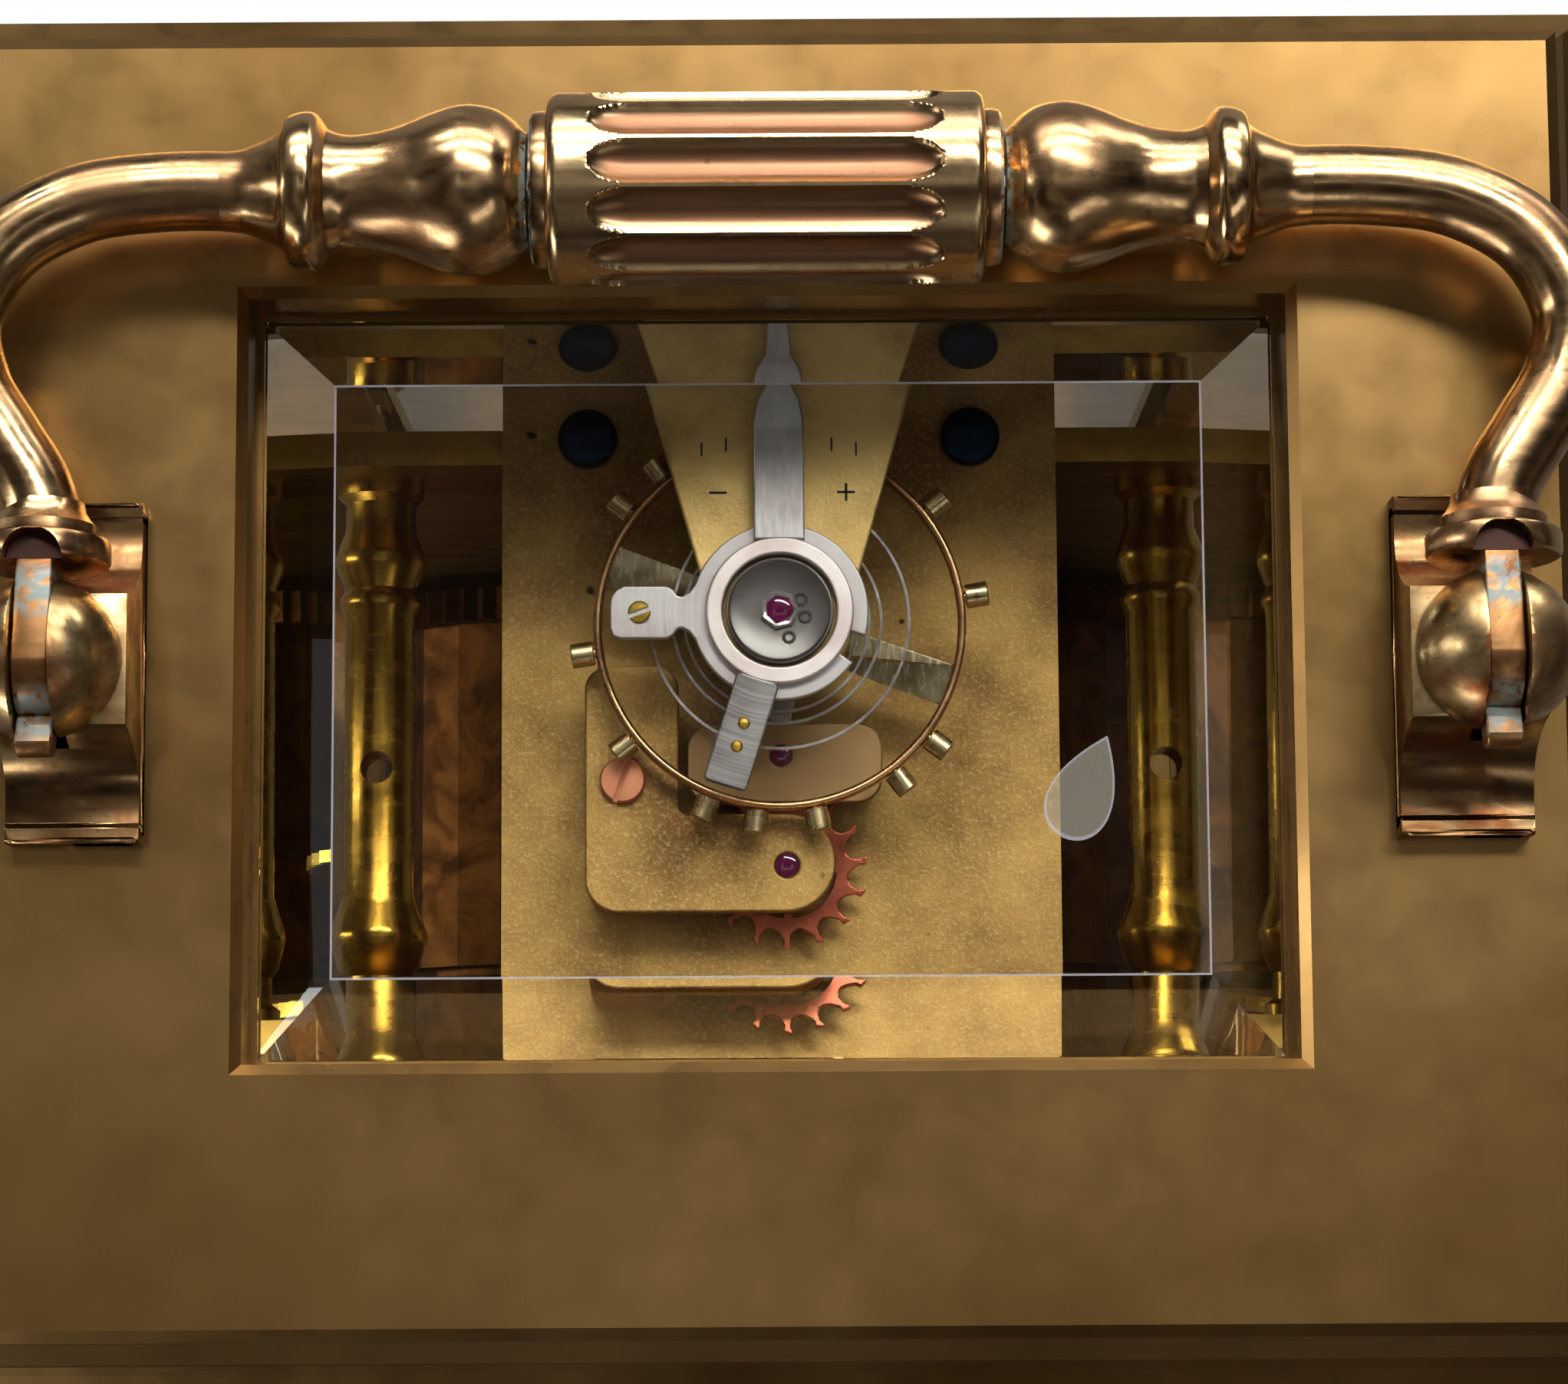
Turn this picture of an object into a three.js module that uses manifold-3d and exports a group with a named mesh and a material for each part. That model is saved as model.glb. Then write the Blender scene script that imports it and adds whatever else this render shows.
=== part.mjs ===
// A brass carriage clock with a pierced fret mask, a bevelled top glass over a platform lever
// escapement, and a folding handle with a fluted grip. Millimetres, +Z up, front towards -Y,
// origin at the middle of the underside. It stands with its handle folded back.
import * as THREE from 'three';
import { mergeVertices } from 'three/addons/utils/BufferGeometryUtils.js';
import Module from 'manifold-3d';

const wasm = await Module();
wasm.setup();

// Case
const baseWidth = 84;
const baseDepth = 71;
const baseHeight = 16;
const openingHeight = 106;
const topHeight = 16;
const topWidth = 76;
const topDepth = 62;
const deckThickness = 3.4;
const basePlateThickness = 1.5;
const baseWall = 8;
const topWall = 8.5;
const apertureWidth = 49.4;
const apertureDepth = 36.4;
const apertureLip = 0.7;
const apertureChamfer = 0.5;
const topGlassThickness = 4;
const topGlassRecess = 1.6;
const topBevelWidth = 3.7;
const topBevelDrop = 2.5;
const paneThickness = 2.4;
const paneBevelWidth = 4;
const paneBevelDrop = 1;
const fit = 0.3;
const seat = 0.08;

// Corner pillars of the case
const columnX = 33.4;
const columnY = 27.2;
const columnRadius = 3.1;
const fluteCount = 8;
const fluteRadius = 0.62;
const capHeight = 9;
const postInnerX = 27.8;
const postInnerY = 21;
const grooveDepth = 1.3;
const grooveWidth = 3;

// Rear door
const doorThickness = 3.4;
const doorRail = 4.4;
const doorGlassThickness = 1.5;
const doorRebate = 1;
const pivotRadius = 0.9;
const pivotLength = 1.6;
const knobRadius = 2;
const knobReach = 4.2;
const latchReach = 3.6;
const latchThickness = 0.9;

// Movement frame
const plateWidth = 51;
const plateThickness = 1.8;
const backPlateY = 13.5;
const frontPlateY = -15.1;
const pillarX = 20.7;
const topPillarDrop = 6.2;
const bottomPillarRise = 8;
const pillarRadius = 1.85;
const knopRadius = 2.6;
const pillarHoleRadius = 0.85;
const dialZ = 79;
const dialRadius = 20.5;
const dialThickness = 0.8;
const maskThickness = 0.8;
const maskHoleRadius = 19;

// Wheels: teeth and modules
const barrelTeeth = 60;
const barrelModule = 0.4;
const barrelX = 12.6;
const strikeShift = 0.9;
const centrePinionTeeth = 10;
const centreTeeth = 48;
const centreModule = 0.49;
const thirdPinionTeeth = 6;
const thirdTeeth = 45;
const thirdModule = 0.49;
const contratePinionTeeth = 6;
const contrateTeeth = 48;
const contrateRadius = 9.2;
const cannonTeeth = 12;
const minuteTeeth = 36;
const minutePinionTeeth = 9;
const hourTeeth = 36;
const cannonModule = 0.3;
const cannonBore = 0.85;
const cannonPipe = 1.25;
const hourPipe = 2.05;
const minuteHandLength = 16.6;
const hourHandLength = 11.4;
const hourHandAngle = -60;
const arborRadius = 0.8;
const barrelArborRadius = 1.6;
const windingSquare = 2.4;

// Platform escapement
const platformX = 0.5;
const platformWidth = 28.4;
const platformBack = 19.2;
const platformFront = -19.4;
const platformThickness = 1.8;
const platformDrop = 12.4;
const balanceY = 4;
const balanceRadius = 9.3;
const rimThickness = 0.42;
const rimHeight = 1;
const balancePlane = 5.1;
const rimScrewSize = 1.25;
const leverY = -2.3;
const escapeX = 0.3;
const escapeY = -7.9;
const escapeTipRadius = 4.1;
const escapeTeeth = 15;
const escapePinionTeeth = 6;
const bridgeTop = 3.6;
const bridgeThickness = 1.1;
const cockTop = 9;
const cockThickness = 1.5;
const springPlane = 6.65;
const springInner = 1.25;
const springPitch = 0.58;
const springOuter = 6.4;
const springWidth = 0.14;
const springHeight = 0.4;
const springTurns = 7;
const studRadius = 0.35;

// Handle
const pivotX = 33.2;
const pivotRise = 6.2;
const gripReach = 22.1;
const gripRadius = 4.5;
const gripLength = 21.8;
const gripFlutes = 12;
const rodRadius = 1.85;
const ballRadius = 3.8;
const tongueThickness = 1.7;
const bracketWidth = 6.2;
const bracketLength = 16;
const bracketInset = 0.8;
const footRound = 0.9;
const pinRadius = 0.8;

// Levels and places that follow from the sizes above
const deckZ = baseHeight;
const frameZ = baseHeight + openingHeight;
const topZ = frameZ + topHeight;
const glassTopZ = topZ - topGlassRecess;
const glassUnderZ = glassTopZ - topGlassThickness;
const platformZ = glassUnderZ - platformDrop;
const plateTopZ = platformZ - platformThickness;
const topPillarZ = plateTopZ - topPillarDrop;
const bottomPillarZ = deckZ + bottomPillarRise;
const pivotZ = topZ + pivotRise;
const gripZ = topZ + gripRadius + 0.4;
const handleDrop = Math.asin((pivotZ - gripZ) / gripReach);

const brass = { color: 0xb98d4e, roughness: 0.25, metalness: 1 };
const gilt = { color: 0xb39a60, roughness: 0.5, metalness: 1 };
const steel = { color: 0x8f8f94, roughness: 0.3, metalness: 1 };
const blued = { color: 0x10203a, roughness: 0.25, metalness: 1 };
const glass = { color: 0xdfe6e6, roughness: 0.03, metalness: 0, transparent: true, opacity: 0.3 };
const enamel = { color: 0xf2efe6, roughness: 0.3, metalness: 0 };

// Geometry to solid and back
function solid(geometry) {
  const g = geometry.clone();
  g.deleteAttribute('normal');
  g.deleteAttribute('uv');
  const m = mergeVertices(g, 1e-4);
  const index = m.index.array;
  const kept = [];
  for (let i = 0; i < index.length; i += 3) {
    const [a, b, c] = [index[i], index[i + 1], index[i + 2]];
    if (a !== b && b !== c && c !== a) kept.push(a, b, c);
  }
  return new wasm.Manifold(new wasm.Mesh({
    numProp: 3,
    vertProperties: new Float32Array(m.attributes.position.array),
    triVerts: new Uint32Array(kept),
  }));
}

function geometryOf(body) {
  const mesh = body.getMesh();
  const g = new THREE.BufferGeometry();
  g.setAttribute('position', new THREE.BufferAttribute(new Float32Array(mesh.vertProperties), 3));
  g.setIndex(new THREE.BufferAttribute(new Uint32Array(mesh.triVerts), 1));
  g.computeVertexNormals();
  return g;
}

const group = new THREE.Group();

function add(name, body, finish) {
  const mesh = new THREE.Mesh(geometryOf(body), new THREE.MeshStandardMaterial(finish));
  mesh.name = name;
  group.add(mesh);
}

// Basic forms
function box(x0, x1, y0, y1, z0, z1) {
  const g = new THREE.BoxGeometry(x1 - x0, y1 - y0, z1 - z0);
  return solid(g.translate((x0 + x1) / 2, (y0 + y1) / 2, (z0 + z1) / 2));
}

// A turned piece round the Z axis, from [radius, height] points that start and end on the axis
function turnedZ(points, sides = 24) {
  const g = new THREE.LatheGeometry(points.map(([r, z]) => new THREE.Vector2(r, z)), sides);
  return solid(g.rotateX(Math.PI / 2));
}

// A turned ring round the Y axis, from a closed run of [radius, place along Y] points
function turnedRing(points, sides) {
  return solid(new THREE.LatheGeometry(points.map(([r, y]) => new THREE.Vector2(r, y)), sides));
}

function rodZ(radius, z0, z1, sides = 16) {
  return turnedZ([[0, z0], [radius, z0], [radius, z1], [0, z1]], sides);
}

// The same, lying along Y or X
const alongY = (body) => body.rotate([-90, 0, 0]);
const alongX = (body) => body.rotate([0, 90, 0]);

function rodY(radius, y0, y1, sides = 16) {
  return alongY(rodZ(radius, y0, y1, sides));
}

// A flat shape in XY raised from z0 to z1
function raised(shape, z0, z1, curve = 8) {
  const g = new THREE.ExtrudeGeometry(shape, { depth: z1 - z0, bevelEnabled: false, curveSegments: curve });
  return solid(g.translate(0, 0, z0));
}

// A flat shape drawn in XZ and raised along Y, from y0 (front) to y1 (back)
function upright(shape, y0, y1, curve = 8) {
  const g = new THREE.ExtrudeGeometry(shape, { depth: y1 - y0, bevelEnabled: false, curveSegments: curve });
  g.rotateX(Math.PI / 2);
  return solid(g.translate(0, y1, 0));
}

function polygon(points) {
  return new THREE.Shape(points.map(([x, y]) => new THREE.Vector2(x, y)));
}

function disc(x, y, radius) {
  const path = new THREE.Path();
  path.absarc(x, y, radius, 0, Math.PI * 2, true);
  return path;
}

// A rectangular block whose four sides share one moulded profile of [inset, height] points
function moulded(profile, halfX, halfY) {
  const position = [];
  const corner = [[1, 1], [-1, 1], [-1, -1], [1, -1]];
  for (const [inset, z] of profile) {
    for (const [sx, sy] of corner) position.push(sx * (halfX - inset), sy * (halfY - inset), z);
  }
  const index = [];
  for (let i = 0; i + 1 < profile.length; i++) {
    for (let k = 0; k < 4; k++) {
      const a = 4 * i + k;
      const b = 4 * i + ((k + 1) % 4);
      index.push(a, b, b + 4, a, b + 4, a + 4);
    }
  }
  const last = 4 * (profile.length - 1);
  index.push(0, 2, 1, 0, 3, 2, last, last + 1, last + 2, last, last + 2, last + 3);
  const g = new THREE.BufferGeometry();
  g.setAttribute('position', new THREE.Float32BufferAttribute(position, 3));
  g.setIndex(index);
  return solid(g);
}

function union(...bodies) {
  return wasm.Manifold.union(bodies);
}

function rectangle(x, y, halfX, halfY) {
  const [x0, x1, y0, y1] = [x - halfX, x + halfX, y - halfY, y + halfY];
  return polygon([[x0, y0], [x1, y0], [x1, y1], [x0, y1]]);
}

// A rectangle with round corners, centred on x, y
function roundedRect(x, y, halfX, halfY, r) {
  const s = new THREE.Shape();
  s.absarc(x + halfX - r, y + halfY - r, r, 0, Math.PI / 2);
  s.absarc(x - halfX + r, y + halfY - r, r, Math.PI / 2, Math.PI);
  s.absarc(x - halfX + r, y - halfY + r, r, Math.PI, Math.PI * 1.5);
  s.absarc(x + halfX - r, y - halfY + r, r, Math.PI * 1.5, Math.PI * 2);
  s.closePath();
  return s;
}

// Case: base, top frame, glasses and corner posts
function ogee(fromInset, toInset, z0, z1, steps = 5) {
  const points = [];
  for (let i = 0; i <= steps; i++) {
    const t = i / steps;
    const ease = t - Math.sin(2 * Math.PI * t) / (2 * Math.PI);
    points.push([fromInset + (toInset - fromInset) * ease, z0 + (z1 - z0) * t]);
  }
  return points;
}

function basePlinth() {
  const profile = [
    [0.5, 0],
    [0, 0.5],
    [0, 3.2],
    [0.7, 3.8],
    ...ogee(0.7, 3.4, 4.4, 9.4),
    [2.7, 10.2],
    [2.7, 11.4],
    [3.7, 12],
    [4.1, 12.8],
    [4.1, deckZ],
  ];
  const outer = moulded(profile, baseWidth / 2, baseDepth / 2);
  const hx = baseWidth / 2 - baseWall;
  const hy = baseDepth / 2 - baseWall;
  const ledge = 1.1 + basePlateThickness;
  let body = outer.subtract(box(-hx, hx, -hy, hy, -1, deckZ - deckThickness));
  body = body.subtract(box(-hx - 2, hx + 2, -hy - 2, hy + 2, -1, ledge));
  body = body.subtract(rodZ(pivotRadius + fit, deckZ - 2, deckZ + 1).translate([hingeX, hingeY, 0]));
  return body;
}

function basePlate() {
  const hx = baseWidth / 2 - baseWall + 2 - fit;
  const hy = baseDepth / 2 - baseWall + 2 - fit;
  let body = box(-hx, hx, -hy, hy, 1.1, 1.1 + basePlateThickness);
  for (const sx of [-1, 1]) {
    for (const sy of [-1, 1]) {
      body = body.subtract(rodZ(1.2, 0, 3, 12).translate([sx * (hx - 3), sy * (hy - 3), 0]));
    }
  }
  return body;
}

function topFrame() {
  const profile = [
    [-0.7, frameZ],
    [-0.7, frameZ + 1.8],
    [0, frameZ + 2.4],
    [0, frameZ + 3.6],
    ...ogee(-0.4, -2.6, frameZ + 4, frameZ + 8),
    [-2.6, frameZ + 9.6],
    [-1.6, frameZ + 10.4],
    ...ogee(-1.2, 0, frameZ + 10.8, frameZ + 13.6, 4),
    [0, topZ - 0.6],
    [0.6, topZ],
  ];
  let body = moulded(profile, topWidth / 2, topDepth / 2);
  const wx = topWidth / 2 - topWall;
  const wy = topDepth / 2 - topWall;
  const ax = apertureWidth / 2;
  const ay = apertureDepth / 2;
  const lip = apertureLip;
  body = body.subtract(box(-wx, wx, -wy, wy, frameZ - 1, glassUnderZ - 1.2));
  body = body.subtract(box(-ax + lip, ax - lip, -ay + lip, ay - lip, frameZ, topZ));
  body = body.subtract(box(-ax, ax, -ay, ay, glassUnderZ, topZ + 1));
  const flare = [[0, topZ - apertureChamfer], [-2 * apertureChamfer, topZ + apertureChamfer]];
  body = body.subtract(moulded(flare, ax, ay));
  body = body.subtract(rodZ(pivotRadius + fit, frameZ - 1, frameZ + 2).translate([hingeX, hingeY, 0]));
  return body;
}

// A bevelled glass pane lying in XY with its bevels on top
function pane(width, height, thickness, bevel, drop) {
  return moulded([[0, 0], [0, thickness - drop], [bevel, thickness]], width / 2, height / 2);
}

const hingeX = postInnerX - 0.4 - doorThickness / 2;
const hingeY = columnY - 0.6 - doorThickness / 2;

function topGlass() {
  const body = pane(apertureWidth - 2 * fit, apertureDepth - 2 * fit, topGlassThickness,
    topBevelWidth, topBevelDrop);
  return body.translate([0, 0, glassUnderZ]);
}

const paneHeight = openingHeight - 2 * fit;
const paneMidZ = (deckZ + frameZ) / 2;
const frontGrooveY = columnY - 0.8 - grooveWidth;
const sideGrooveX = columnX - 0.8 - grooveWidth;

function frontGlass() {
  const width = 2 * (postInnerX + grooveDepth - fit);
  const body = pane(width, paneHeight, paneThickness, paneBevelWidth, paneBevelDrop);
  return body.rotate([90, 0, 0]).translate([0, -frontGrooveY - fit, paneMidZ]);
}

function sideGlass(side) {
  const width = 2 * (postInnerY + grooveDepth - fit);
  const body = pane(paneHeight, width, paneThickness, paneBevelWidth, paneBevelDrop);
  return body.rotate([0, side * 90, 0]).translate([side * (sideGrooveX + fit), 0, paneMidZ]);
}

// A fluted round column joined to a grooved square post, for the +X +Y corner; front posts take the front glass
function cornerPost(front) {
  const points = [];
  const step = (Math.PI * 2) / fluteCount;
  const half = fluteRadius / columnRadius;
  for (let i = 0; i < fluteCount; i++) {
    const a = i * step;
    for (const [turn, depth] of [[-half, 0], [-half * 0.55, 0.8], [half * 0.55, 0.8], [half, 0]]) {
      const r = columnRadius - depth * fluteRadius;
      points.push([r * Math.cos(a + turn), r * Math.sin(a + turn)]);
    }
  }
  const shaft = raised(polygon(points), deckZ + capHeight - 0.5, frameZ - capHeight + 0.5);
  const foot = [
    [0, 0], [4.1, 0], [4.1, 1.5], [3.6, 2], [4, 2.9], [3.2, 3.8], [3.2, 4.8], [3.7, 5.5], [3.7, 6.3],
    [3.3, 7], [3.3, capHeight], [0, capHeight],
  ];
  const sides = 10;
  const base = turnedZ(foot, sides).translate([0, 0, deckZ]);
  const cap = turnedZ(foot, sides).rotate([180, 0, 0]).translate([0, 0, frameZ]);
  const column = union(shaft, base, cap).translate([columnX, columnY, 0]);
  let core = box(postInnerX, columnX, postInnerY, columnY - 0.2, deckZ, frameZ);
  const g = grooveDepth;
  core = core.subtract(box(sideGrooveX, sideGrooveX + grooveWidth, postInnerY - 1, postInnerY + g, 0, topZ));
  if (front) {
    const grooveBack = frontGrooveY + grooveWidth;
    core = core.subtract(box(postInnerX - 1, postInnerX + g, frontGrooveY, grooveBack, 0, topZ));
  }
  return union(column, core);
}

// Rear door: a railed frame with a round hinge edge and pivot stubs, its glass and its turning catch
const doorLeft = -(postInnerX - 0.4);
const doorBottom = deckZ + 2 * fit;
const doorTop = frameZ - 2 * fit;
const doorBack = hingeY + doorThickness / 2;
const doorFront = hingeY - doorThickness / 2;
const openLeft = doorLeft + doorRail;
const openRight = hingeX - doorRail / 2 - 0.6;
const knobX = doorLeft + doorRail / 2;
const knobZ = paneMidZ;
const latchY = postInnerY - fit - latchThickness;

function doorFrame() {
  const leaf = box(doorLeft, hingeX, doorFront, doorBack, doorBottom, doorTop);
  const edge = rodZ(doorThickness / 2, doorBottom, doorTop, 16).translate([hingeX, hingeY, 0]);
  const stubLow = rodZ(pivotRadius, doorBottom - pivotLength, doorBottom + 1, 12);
  const stubHigh = rodZ(pivotRadius, doorTop - 1, doorTop + pivotLength, 12);
  let body = union(leaf, edge, union(stubLow, stubHigh).translate([hingeX, hingeY, 0]));
  const low = doorBottom + doorRail;
  const high = doorTop - doorRail;
  body = body.subtract(box(openLeft, openRight, doorFront - 1, doorBack + 1, low, high));
  const r = doorRebate;
  const step = doorFront + doorGlassThickness + fit;
  body = body.subtract(box(openLeft - r, openRight + r, doorFront - 1, step, low - r, high + r));
  return body.subtract(rodY(0.9, doorFront - 1, doorBack + 1, 12).translate([knobX, 0, knobZ]));
}

function doorGlass() {
  const grow = doorRebate - fit;
  const width = openRight - openLeft + 2 * grow;
  const height = doorTop - doorBottom - 2 * doorRail + 2 * grow;
  const body = pane(width, height, doorGlassThickness, 1, 0.5);
  const midX = (openLeft + openRight) / 2;
  return body.rotate([-90, 0, 0]).translate([midX, doorFront + fit - 0.1, (doorTop + doorBottom) / 2]);
}

function doorKnob() {
  const profile = [
    [0, latchY], [0.6, latchY], [0.6, doorBack + fit], [1.3, doorBack + fit], [1.5, doorBack + 0.9],
    [0.9, doorBack + 1.4], [0.9, doorBack + 2], [knobRadius, doorBack + 2.7], [knobRadius, doorBack + 3.3],
    [1.5, doorBack + knobReach - 0.3], [0.6, doorBack + knobReach], [0, doorBack + knobReach],
  ];
  const stem = alongY(turnedZ(profile, 14));
  const tongue = box(-0.8, 0.8, latchY, latchY + latchThickness, -1, latchReach);
  return union(stem, tongue).translate([knobX, 0, knobZ]);
}

// Dial, pierced mask and hands
const maskBack = -postInnerY + maskThickness;
const dialBack = maskBack + dialThickness;

function dial() {
  const s = new THREE.Shape();
  s.absarc(0, 0, dialRadius, 0, Math.PI * 2);
  s.holes.push(disc(0, 0, 3));
  return upright(s, maskBack, dialBack, 14).translate([0, 0, dialZ]);
}

// A curled leaf-shaped piercing: its half width swells and tapers along a spiral centre line
function scrollHole(cx, cz, size, turn, sweep, mirror) {
  const left = [];
  const right = [];
  const steps = 5;
  for (let i = 0; i <= steps; i++) {
    const t = i / steps;
    const a = turn + sweep * t;
    const r = size * (1 - 0.55 * t);
    const half = size * 0.3 * Math.sin(Math.PI * Math.min(1, 0.08 + 0.9 * t)) ** 0.8;
    left.push([cx + mirror * (r + half) * Math.cos(a), cz + (r + half) * Math.sin(a)]);
    right.push([cx + mirror * (r - half) * Math.cos(a), cz + (r - half) * Math.sin(a)]);
  }
  const points = [...left, ...right.reverse()];
  return new THREE.Path(points.map(([x, z]) => new THREE.Vector2(x, z)));
}

function fretMask() {
  const halfX = postInnerX + 1.2;
  const halfZ = (openingHeight - 2 * fit) / 2;
  const midZ = paneMidZ - dialZ;
  const s = rectangle(0, midZ, halfX, halfZ);
  // the dial's opening is drawn in short straight steps of its own, so that it stays round
  const steps = 28;
  const rim = Array.from({ length: steps }, (_, i) => (i / steps) * Math.PI * 2);
  const opening = rim.map((a) => new THREE.Vector2(Math.cos(a), Math.sin(a)).multiplyScalar(maskHoleRadius));
  s.holes.push(new THREE.Path(opening));
  const pi = Math.PI;
  // scrolls in the four spandrels and mirrored sprays above and below the dial
  const scrolls = [
    [20.5, 19.5, 3.9, pi * 0.1, pi * 1.25], [12.6, 25.2, 3.6, -pi * 0.25, pi * 1.25],
    [21.4, 29.6, 3.5, -pi * 0.7, -pi * 1.2], [5.2, 31.4, 3.6, pi * 1.1, -pi * 1.25],
    [13.6, 34.6, 3, pi * 0.15, pi * 1.2], [20.5, -19.5, 3.9, -pi * 0.1, -pi * 1.25],
    [12.6, -25.6, 3.8, pi * 0.25, -pi * 1.25], [21.4, -30.6, 3.7, pi * 0.7, pi * 1.2],
    [5.4, -33.4, 3.9, -pi * 1.1, pi * 1.25], [14, -38.4, 4.1, pi * 0.2, -pi * 1.3],
    [21.8, -42.6, 3.4, -pi * 0.6, pi * 1.2], [5.4, -45.8, 3.9, pi * 1.05, -pi * 1.25],
    [14.2, -50, 3.6, pi * 0.1, pi * 1.25],
  ];
  for (const [x, z, size, turn, sweep] of scrolls) {
    s.holes.push(scrollHole(x, z, size, turn, sweep, 1));
    s.holes.push(scrollHole(-x, z, size, turn, sweep, -1));
  }
  for (const [z, r] of [[22.6, 1.3], [38.2, 1.3], [-22.8, 1.4], [-39.6, 1.6], [-53.6, 1.5]]) {
    s.holes.push(disc(0, z, r));
  }
  return upright(s, -postInnerY, maskBack, 3).translate([0, 0, dialZ]);
}

const hourHandY = -postInnerY - 0.4;
const minuteHandY = hourHandY - 0.9;
const handThickness = 0.4;

function spadeHand(length, collar, bore) {
  const s = new THREE.Shape();
  s.absarc(0, 0, collar, Math.PI / 2 + 0.25, Math.PI * 2.5 - 0.25);
  s.lineTo(0.35, length * 0.6);
  s.quadraticCurveTo(1.9, length * 0.66, 1.5, length * 0.78);
  s.quadraticCurveTo(0.9, length * 0.88, 0.05, length);
  s.lineTo(-0.05, length);
  s.quadraticCurveTo(-0.9, length * 0.88, -1.5, length * 0.78);
  s.quadraticCurveTo(-1.9, length * 0.66, -0.35, length * 0.6);
  s.closePath();
  s.holes.push(disc(0, 0, bore));
  return s;
}

// Wheels
function toothed(teeth, module, depth = 0.85, bores = [], pointed = false) {
  const pitch = (teeth * module) / 2;
  const tip = pitch + 0.5 * module * depth;
  const root = pitch - 0.75 * module * depth;
  const step = (Math.PI * 2) / teeth;
  const points = [];
  for (let i = 0; i < teeth; i++) {
    const a = i * step;
    const ends = pointed ? [0] : [-0.13, 0.13];
    for (const side of ends) {
      points.push([tip * Math.cos(a + side * step), tip * Math.sin(a + side * step)]);
    }
    points.push([root * Math.cos(a + 0.5 * step), root * Math.sin(a + 0.5 * step)]);
  }
  const s = polygon(points);
  for (const hole of bores) s.holes.push(hole);
  return s;
}

// Openings between the spokes of a wheel, rounded by their two arcs
function crossings(count, inner, outer, spoke) {
  const holes = [];
  for (let i = 0; i < count; i++) {
    const a0 = (Math.PI * 2 * i) / count;
    const a1 = (Math.PI * 2 * (i + 1)) / count;
    const trimOuter = spoke / outer;
    const trimInner = spoke / inner;
    const p = new THREE.Path();
    p.absarc(0, 0, outer, a0 + trimOuter, a1 - trimOuter);
    p.absarc(0, 0, inner, a1 - trimInner, a0 + trimInner, true);
    p.closePath();
    holes.push(p);
  }
  return holes;
}

function pitchRadius(teeth, module) {
  return (teeth * module) / 2;
}

// A gear turned about its own arbor, so that tooth or gap number 0 looks along the given angle
function turnedGear(shape, y0, y1, angle, curve = 4) {
  return upright(shape, y0, y1, curve).rotate([0, (-angle * 180) / Math.PI, 0]);
}

// Where an arbor sits that meshes with two others at given distances, on the given side
function meshPoint(a, ra, b, rb, side) {
  const dx = b[0] - a[0];
  const dz = b[1] - a[1];
  const d = Math.hypot(dx, dz);
  const along = (ra * ra - rb * rb + d * d) / (2 * d);
  const off = Math.sqrt(ra * ra - along * along) * side;
  return [a[0] + (along * dx - off * dz) / d, a[1] + (along * dz + off * dx) / d];
}

function angleTo(a, b) {
  return Math.atan2(b[1] - a[1], b[0] - a[0]);
}

const centre = [0, dialZ];
const barrelReach = pitchRadius(barrelTeeth, barrelModule) + pitchRadius(centrePinionTeeth, barrelModule);
const barrelZ = dialZ - Math.sqrt(barrelReach ** 2 - barrelX ** 2);
const going = [barrelX, barrelZ];
const strike = [-barrelX - strikeShift, barrelZ];
const escapeAt = [platformX + escapeX, escapeY];
const contrateZ = platformZ - platformThickness - 4.4 - contrateRadius;
const contrate = [escapeAt[0], contrateZ];
const centreReach = pitchRadius(centreTeeth + thirdPinionTeeth, centreModule);
const thirdReach = pitchRadius(thirdTeeth + contratePinionTeeth, thirdModule);
const third = meshPoint(centre, centreReach, contrate, thirdReach, 1);
const backInner = backPlateY;
const frontInner = frontPlateY;
const pivotGap = 0.25;

// Barrel with its toothed rim next to the back plate; its bore is free for the winding arbor
const rimBack = backInner - 1;
const rimFront = rimBack - 1.9;
const drumFront = -10.5;

function barrel(at, toothAngle) {
  const s = toothed(barrelTeeth, barrelModule, 1, [disc(0, 0, barrelArborRadius + fit)], true);
  const rim = turnedGear(s, rimFront, rimBack, toothAngle, 6);
  const drumRadius = pitchRadius(barrelTeeth, barrelModule) - 1.2;
  const bore = barrelArborRadius + fit;
  const ring = [
    [bore, drumFront], [drumRadius - 1.2, drumFront], [drumRadius - 1.2, drumFront + 0.5],
    [drumRadius, drumFront + 0.5], [drumRadius, rimFront + 0.2], [bore, rimFront + 0.2], [bore, drumFront],
  ];
  return union(turnedRing(ring, 24), rim).translate([at[0], 0, at[1]]);
}

function windingArbor(at) {
  const q = windingSquare / 2;
  const round = rodY(barrelArborRadius, frontInner - 1.4, backPlateY + plateThickness + 0.6, 16);
  const square = box(-q, q, backPlateY + plateThickness, backPlateY + plateThickness + 4.6, -q, q);
  return union(round, square).translate([at[0], 0, at[1]]);
}

function centreWheel() {
  const arbor = rodY(arborRadius, frontInner + pivotGap, backInner - pivotGap, 12);
  const tail = rodY(0.55, minuteHandY - 0.9, backInner + 1.2, 10);
  const pinionShape = toothed(centrePinionTeeth, barrelModule, 1);
  const gapAngle = angleTo(centre, going) + Math.PI / centrePinionTeeth;
  const pinion = turnedGear(pinionShape, rimFront - 0.4, rimBack + 0.4, gapAngle);
  const wheelRadius = pitchRadius(centreTeeth, centreModule);
  const shape = toothed(centreTeeth, centreModule, 0.85, crossings(5, 2.6, wheelRadius - 1.8, 0.6), true);
  const wheel = turnedGear(shape, centreWheelFront, centreWheelFront + 0.9, angleTo(centre, third), 3);
  return union(arbor, tail, pinion, wheel).translate([centre[0], 0, centre[1]]);
}

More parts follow.
